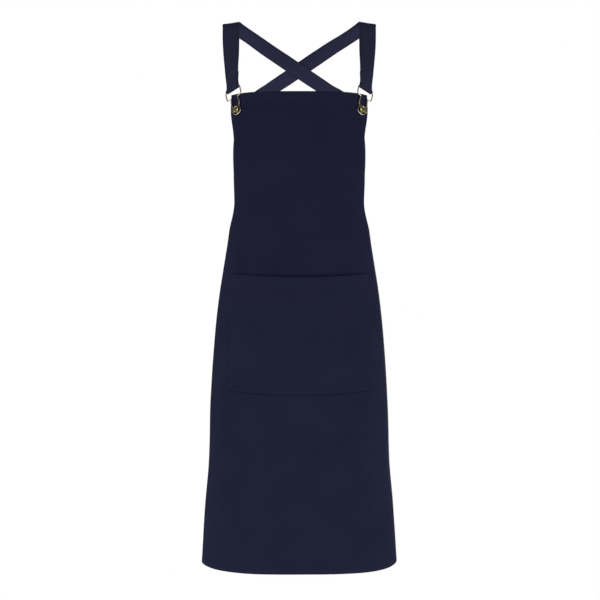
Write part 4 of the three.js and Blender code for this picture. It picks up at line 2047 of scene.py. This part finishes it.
@dataclass
class WireClip:
    """The bent wire clip: a wide loop for the strap and a keyhole that hooks behind the button."""

    frame: ClipFrame
    loop_half_width: float = 0.0176
    bar_gap: float = 0.0008
    step: float = 0.0008
    rounding: int = 3
    smooth_angle: float = math.radians(50)

    def dress(self, finishes: Finishes) -> None:
        """Builds the clip and gives it its material."""
        settle(self.build(), finishes.wire, Slot.BRASS, f"{self.frame.side.word}_clip")

    def route(self) -> Array:
        """The wire's middle line, from one end in the bar round to the other.

        Returns:
            Close points of the line.
        """
        frame = self.frame
        foot = frame.stem_radius + frame.wire_height
        bar = frame.rise_height
        half = [(row.out * self.loop_half_width, row.up * bar - row.foot * foot) for row in CLIP_ROWS]
        ends = self.bar_gap / 2
        outline = [(ends, bar), *half, (0.0, -foot)]
        outline += [(-across, up) for across, up in reversed(half)] + [(-ends, bar)]
        curve = RouteCurve(np.array([frame.point(across, up, frame.wire_height) for across, up in outline]))
        return curve.at(curve.even(self.step)[0])

    def build(self) -> bpy.types.Object:
        """Bends the wire: one point extruded along the route, then given its thickness.

        Returns:
            The clip's object.
        """
        points = self.route()
        deselect()
        bpy.ops.mesh.primitive_plane_add(size=self.step, location=points[0])
        piece = bpy.context.active_object
        piece.name = f"{self.frame.side.word}_clip_wire"
        bpy.ops.object.transform_apply(location=True, rotation=True, scale=True)
        bpy.ops.object.mode_set(mode="EDIT")
        bpy.ops.mesh.select_mode(type="VERT")
        bpy.ops.mesh.select_all(action="SELECT")
        bpy.ops.mesh.merge(type="CENTER")
        for step in np.diff(points, axis=0):
            bpy.ops.mesh.extrude_region_move(TRANSFORM_OT_translate={"value": tuple(step)})
        bpy.ops.object.mode_set(mode="OBJECT")
        bpy.ops.object.convert(target="CURVE")
        piece.data.bevel_depth = self.frame.wire_radius
        piece.data.bevel_resolution = self.rounding
        piece.data.use_fill_caps = True
        bpy.ops.object.convert(target="MESH")
        bpy.ops.object.shade_smooth_by_angle(angle=self.smooth_angle)
        deselect()
        return piece


@dataclass
class ShankButton:
    """The turned metal button: ringed head, stem through the cloth and tack behind it."""

    frame: ClipFrame
    head_radius: float = 0.0085
    head_wall: float = 0.0022
    standoff: float = 0.0054
    tack_radius: float = 0.0048
    tack_wall: float = 0.0012
    curve_room: float = 0.0003
    lean: float = math.radians(28)
    facets: int = 48
    edge_round: float = 0.0006
    edge_steps: int = 3
    tack_stem_share: float = 0.8
    tack_rim: float = 0.0012
    tack_dome: float = 0.0003
    smooth_angle: float = math.radians(40)

    def dress(self, finishes: Finishes) -> None:
        """Builds the button and gives it its material."""
        settle(self.build(), finishes.button, Slot.BRASS, f"{self.frame.side.word}_button")

    def matrix(self) -> Matrix:
        """Turns the button's own +Z onto the way that its stem leans."""
        way = self.frame.out * math.cos(self.lean) + self.frame.rise * math.sin(self.lean)
        turn = Vector((0.0, 0.0, 1.0)).rotation_difference(Vector(way))
        return Matrix.Translation(Vector(self.frame.place)) @ turn.to_matrix().to_4x4()

    def build(self) -> bpy.types.Object:
        """Models the head and its stem, then the tack, and joins them.

        Returns:
            The button's object.
        """
        head = self.head()
        tack = self.tack()
        deselect()
        head.select_set(True)
        tack.select_set(True)
        bpy.context.view_layer.objects.active = head
        bpy.ops.object.join()
        head.data.transform(self.matrix())
        bpy.ops.object.shade_smooth_by_angle(angle=self.smooth_angle)
        deselect()
        return head

    def head(self) -> bpy.types.Object:
        """Models the head and the stem, standing on the cloth.

        Returns:
            The head, along its own +Z.
        """
        deselect()
        middle = self.standoff + self.head_wall / 2
        bpy.ops.mesh.primitive_cylinder_add(
            vertices=self.facets, radius=self.head_radius, depth=self.head_wall, location=(0, 0, middle)
        )
        head = bpy.context.active_object
        head.name = f"{self.frame.side.word}_button_metal"
        bpy.ops.object.transform_apply(location=True, rotation=True, scale=True)
        bpy.ops.object.mode_set(mode="EDIT")
        pick_faces(head, lambda face: face.normal.z < -0.9)
        bpy.ops.mesh.inset(thickness=self.head_radius - self.frame.stem_radius)
        bpy.ops.mesh.extrude_region_move(TRANSFORM_OT_translate={"value": (0, 0, -self.standoff)})
        pick_faces(head, lambda face: face.normal.z > 0.9)
        for step in HEAD_STEPS:
            bpy.ops.mesh.inset(thickness=step.inset)
            bpy.ops.transform.translate(value=(0, 0, step.rise))
        bpy.ops.mesh.select_mode(type="EDGE")
        bpy.ops.mesh.select_all(action="DESELECT")
        mesh = bmesh.from_edit_mesh(head.data)
        near = 0.0001
        for edge in mesh.edges:
            level = abs(edge.verts[0].co.z - edge.verts[1].co.z) < near
            edge.select_set(level and all(v.co.xy.length > self.head_radius - near for v in edge.verts))
        bmesh.update_edit_mesh(head.data)
        bpy.ops.mesh.bevel(offset=self.edge_round, segments=self.edge_steps)
        bpy.ops.object.mode_set(mode="OBJECT")
        return head

    def tack(self) -> bpy.types.Object:
        """Models the tack's disc behind the cloth.

        Returns:
            The tack, along the button's +Z.
        """
        tipped = self.tack_radius * math.tan(self.lean)
        back = self.frame.face / math.cos(self.lean) + tipped + self.curve_room
        middle = -back - self.tack_wall / 2
        bpy.ops.mesh.primitive_cylinder_add(
            vertices=self.facets, radius=self.tack_radius, depth=self.tack_wall, location=(0, 0, middle)
        )
        tack = bpy.context.active_object
        bpy.ops.object.transform_apply(location=True, rotation=True, scale=True)
        bpy.ops.object.mode_set(mode="EDIT")
        pick_faces(tack, lambda face: face.normal.z > 0.9)
        bpy.ops.mesh.inset(thickness=self.tack_radius - self.frame.stem_radius * self.tack_stem_share)
        bpy.ops.mesh.extrude_region_move(TRANSFORM_OT_translate={"value": (0, 0, back)})
        pick_faces(tack, lambda face: face.normal.z < -0.9)
        bpy.ops.mesh.inset(thickness=self.tack_rim)
        bpy.ops.mesh.extrude_region_move(TRANSFORM_OT_translate={"value": (0, 0, -self.tack_dome)})
        bpy.ops.object.mode_set(mode="OBJECT")
        return tack


@dataclass
class Studio:
    """The pale floor, the soft lights and the camera at the photograph's angle."""

    form: WornForm
    floor_drop: float = 0.30
    floor_radius: float = 0.70
    camera_distance: float = 1.9
    front_plane: float = -0.118
    camera_height: float = -0.523
    camera_side: float = 0.0014
    field: float = 1.068
    sensor: float = 36.0
    surround: float = 0.25

    def build(self) -> None:
        """Makes the whole studio."""
        self.floor()
        self.camera()
        self.world()
        for lamp in LAMPS:
            self.light(lamp)

    def floor(self) -> None:
        """Makes the floor."""
        deselect()
        bpy.ops.mesh.primitive_circle_add(
            vertices=96,
            radius=self.floor_radius,
            fill_type="NGON",
            location=(0, 0, self.form.hem_level - self.floor_drop),
        )
        floor = bpy.context.active_object
        floor.name = "floor"
        bpy.ops.object.transform_apply(location=True, rotation=True, scale=True)
        floor.data.materials.append(StudioFinish().build())

    def camera(self) -> None:
        """Makes the camera, level and looking along +Y."""
        data = bpy.data.cameras.new("camera")
        data.sensor_width = self.sensor
        data.lens = self.sensor * self.camera_distance / self.field
        camera = bpy.data.objects.new("camera", data)
        camera.location = (self.camera_side, self.front_plane - self.camera_distance, self.camera_height)
        camera.rotation_euler = (math.radians(90), 0.0, 0.0)
        bpy.context.scene.collection.objects.link(camera)
        bpy.context.scene.camera = camera

    def world(self) -> None:
        """Makes surroundings that are white to the camera and dimmer as a light."""
        scene = bpy.context.scene
        world = bpy.data.worlds.new("studio")
        world.use_nodes = True
        tree = world.node_tree
        background = tree.nodes["Background"]
        background.inputs["Color"].default_value = (1.0, 1.0, 1.0, 1.0)
        path = tree.nodes.new("ShaderNodeLightPath")
        strength = tree.nodes.new("ShaderNodeMapRange")
        strength.inputs["To Min"].default_value = self.surround
        tree.links.new(path.outputs["Is Camera Ray"], strength.inputs["Value"])
        tree.links.new(strength.outputs["Result"], background.inputs["Strength"])
        scene.world = world
        scene.view_settings.view_transform = "Standard"

    def light(self, lamp: Lamp) -> None:
        """Adds a light that looks at the apron's middle.

        Args:
            lamp: The light's sizes.
        """
        data = bpy.data.lights.new(lamp.name, "AREA")
        data.size = lamp.size
        data.energy = lamp.power
        light = bpy.data.objects.new(lamp.name, data)
        light.location = lamp.place
        aim = Vector((0.0, 0.0, self.camera_height)) - Vector(lamp.place)
        light.rotation_euler = aim.to_track_quat("-Z", "Y").to_euler()
        bpy.context.scene.collection.objects.link(light)


def make_finishes() -> Finishes:
    """Makes the apron's materials.

    Returns:
        The materials by their use.
    """
    navy = TwillFinish(
        "navy_twill",
        deep=(0.0088, 0.0091, 0.0255),
        pale=(0.0140, 0.0144, 0.0366),
        worn=(0.0160, 0.0167, 0.0395),
        # Painted light: the lift of the skirt's colour below the bib.
        fade=(1.06, 1.15, 1.06),
    )
    strap = TwillFinish(
        "strap_twill",
        deep=(0.0208, 0.0219, 0.0500),
        pale=(0.0308, 0.0322, 0.0676),
        worn=(0.0355, 0.0370, 0.0760),
        rib_pitch=0.0013,
    )
    thread = ThreadFinish("navy_thread", (0.0120, 0.0126, 0.0300), (0.0200, 0.0208, 0.0440))
    wire = BrassFinish("wire_brass", (0.54, 0.46, 0.36), (0.28, 0.22, 0.165))
    button = BrassFinish("button_brass", (0.37, 0.32, 0.155), (0.21, 0.17, 0.09))
    return Finishes(*(finish.build() for finish in (navy, strap, thread, wire, button)))


def main() -> None:
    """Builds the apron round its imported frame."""
    logging.basicConfig(level=logging.INFO, format="%(name)s: %(message)s")
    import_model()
    form = WornForm()
    Studio(form).build()
    finishes = make_finishes()
    pattern = Pattern(form)
    panel = ApronPanel(pattern, Drape(pattern))
    straps = [Strap(pattern, ClipFrame(pattern, side)) for side in Side]
    panel.dress(finishes, [line for strap in straps for line in strap.seat_line()])
    Pocket(panel).dress(finishes)
    for strap in straps:
        strap.dress(finishes)
        WireClip(strap.clip).dress(finishes)
        ShankButton(strap.clip).dress(finishes)


if __name__ == "__main__":
    main()
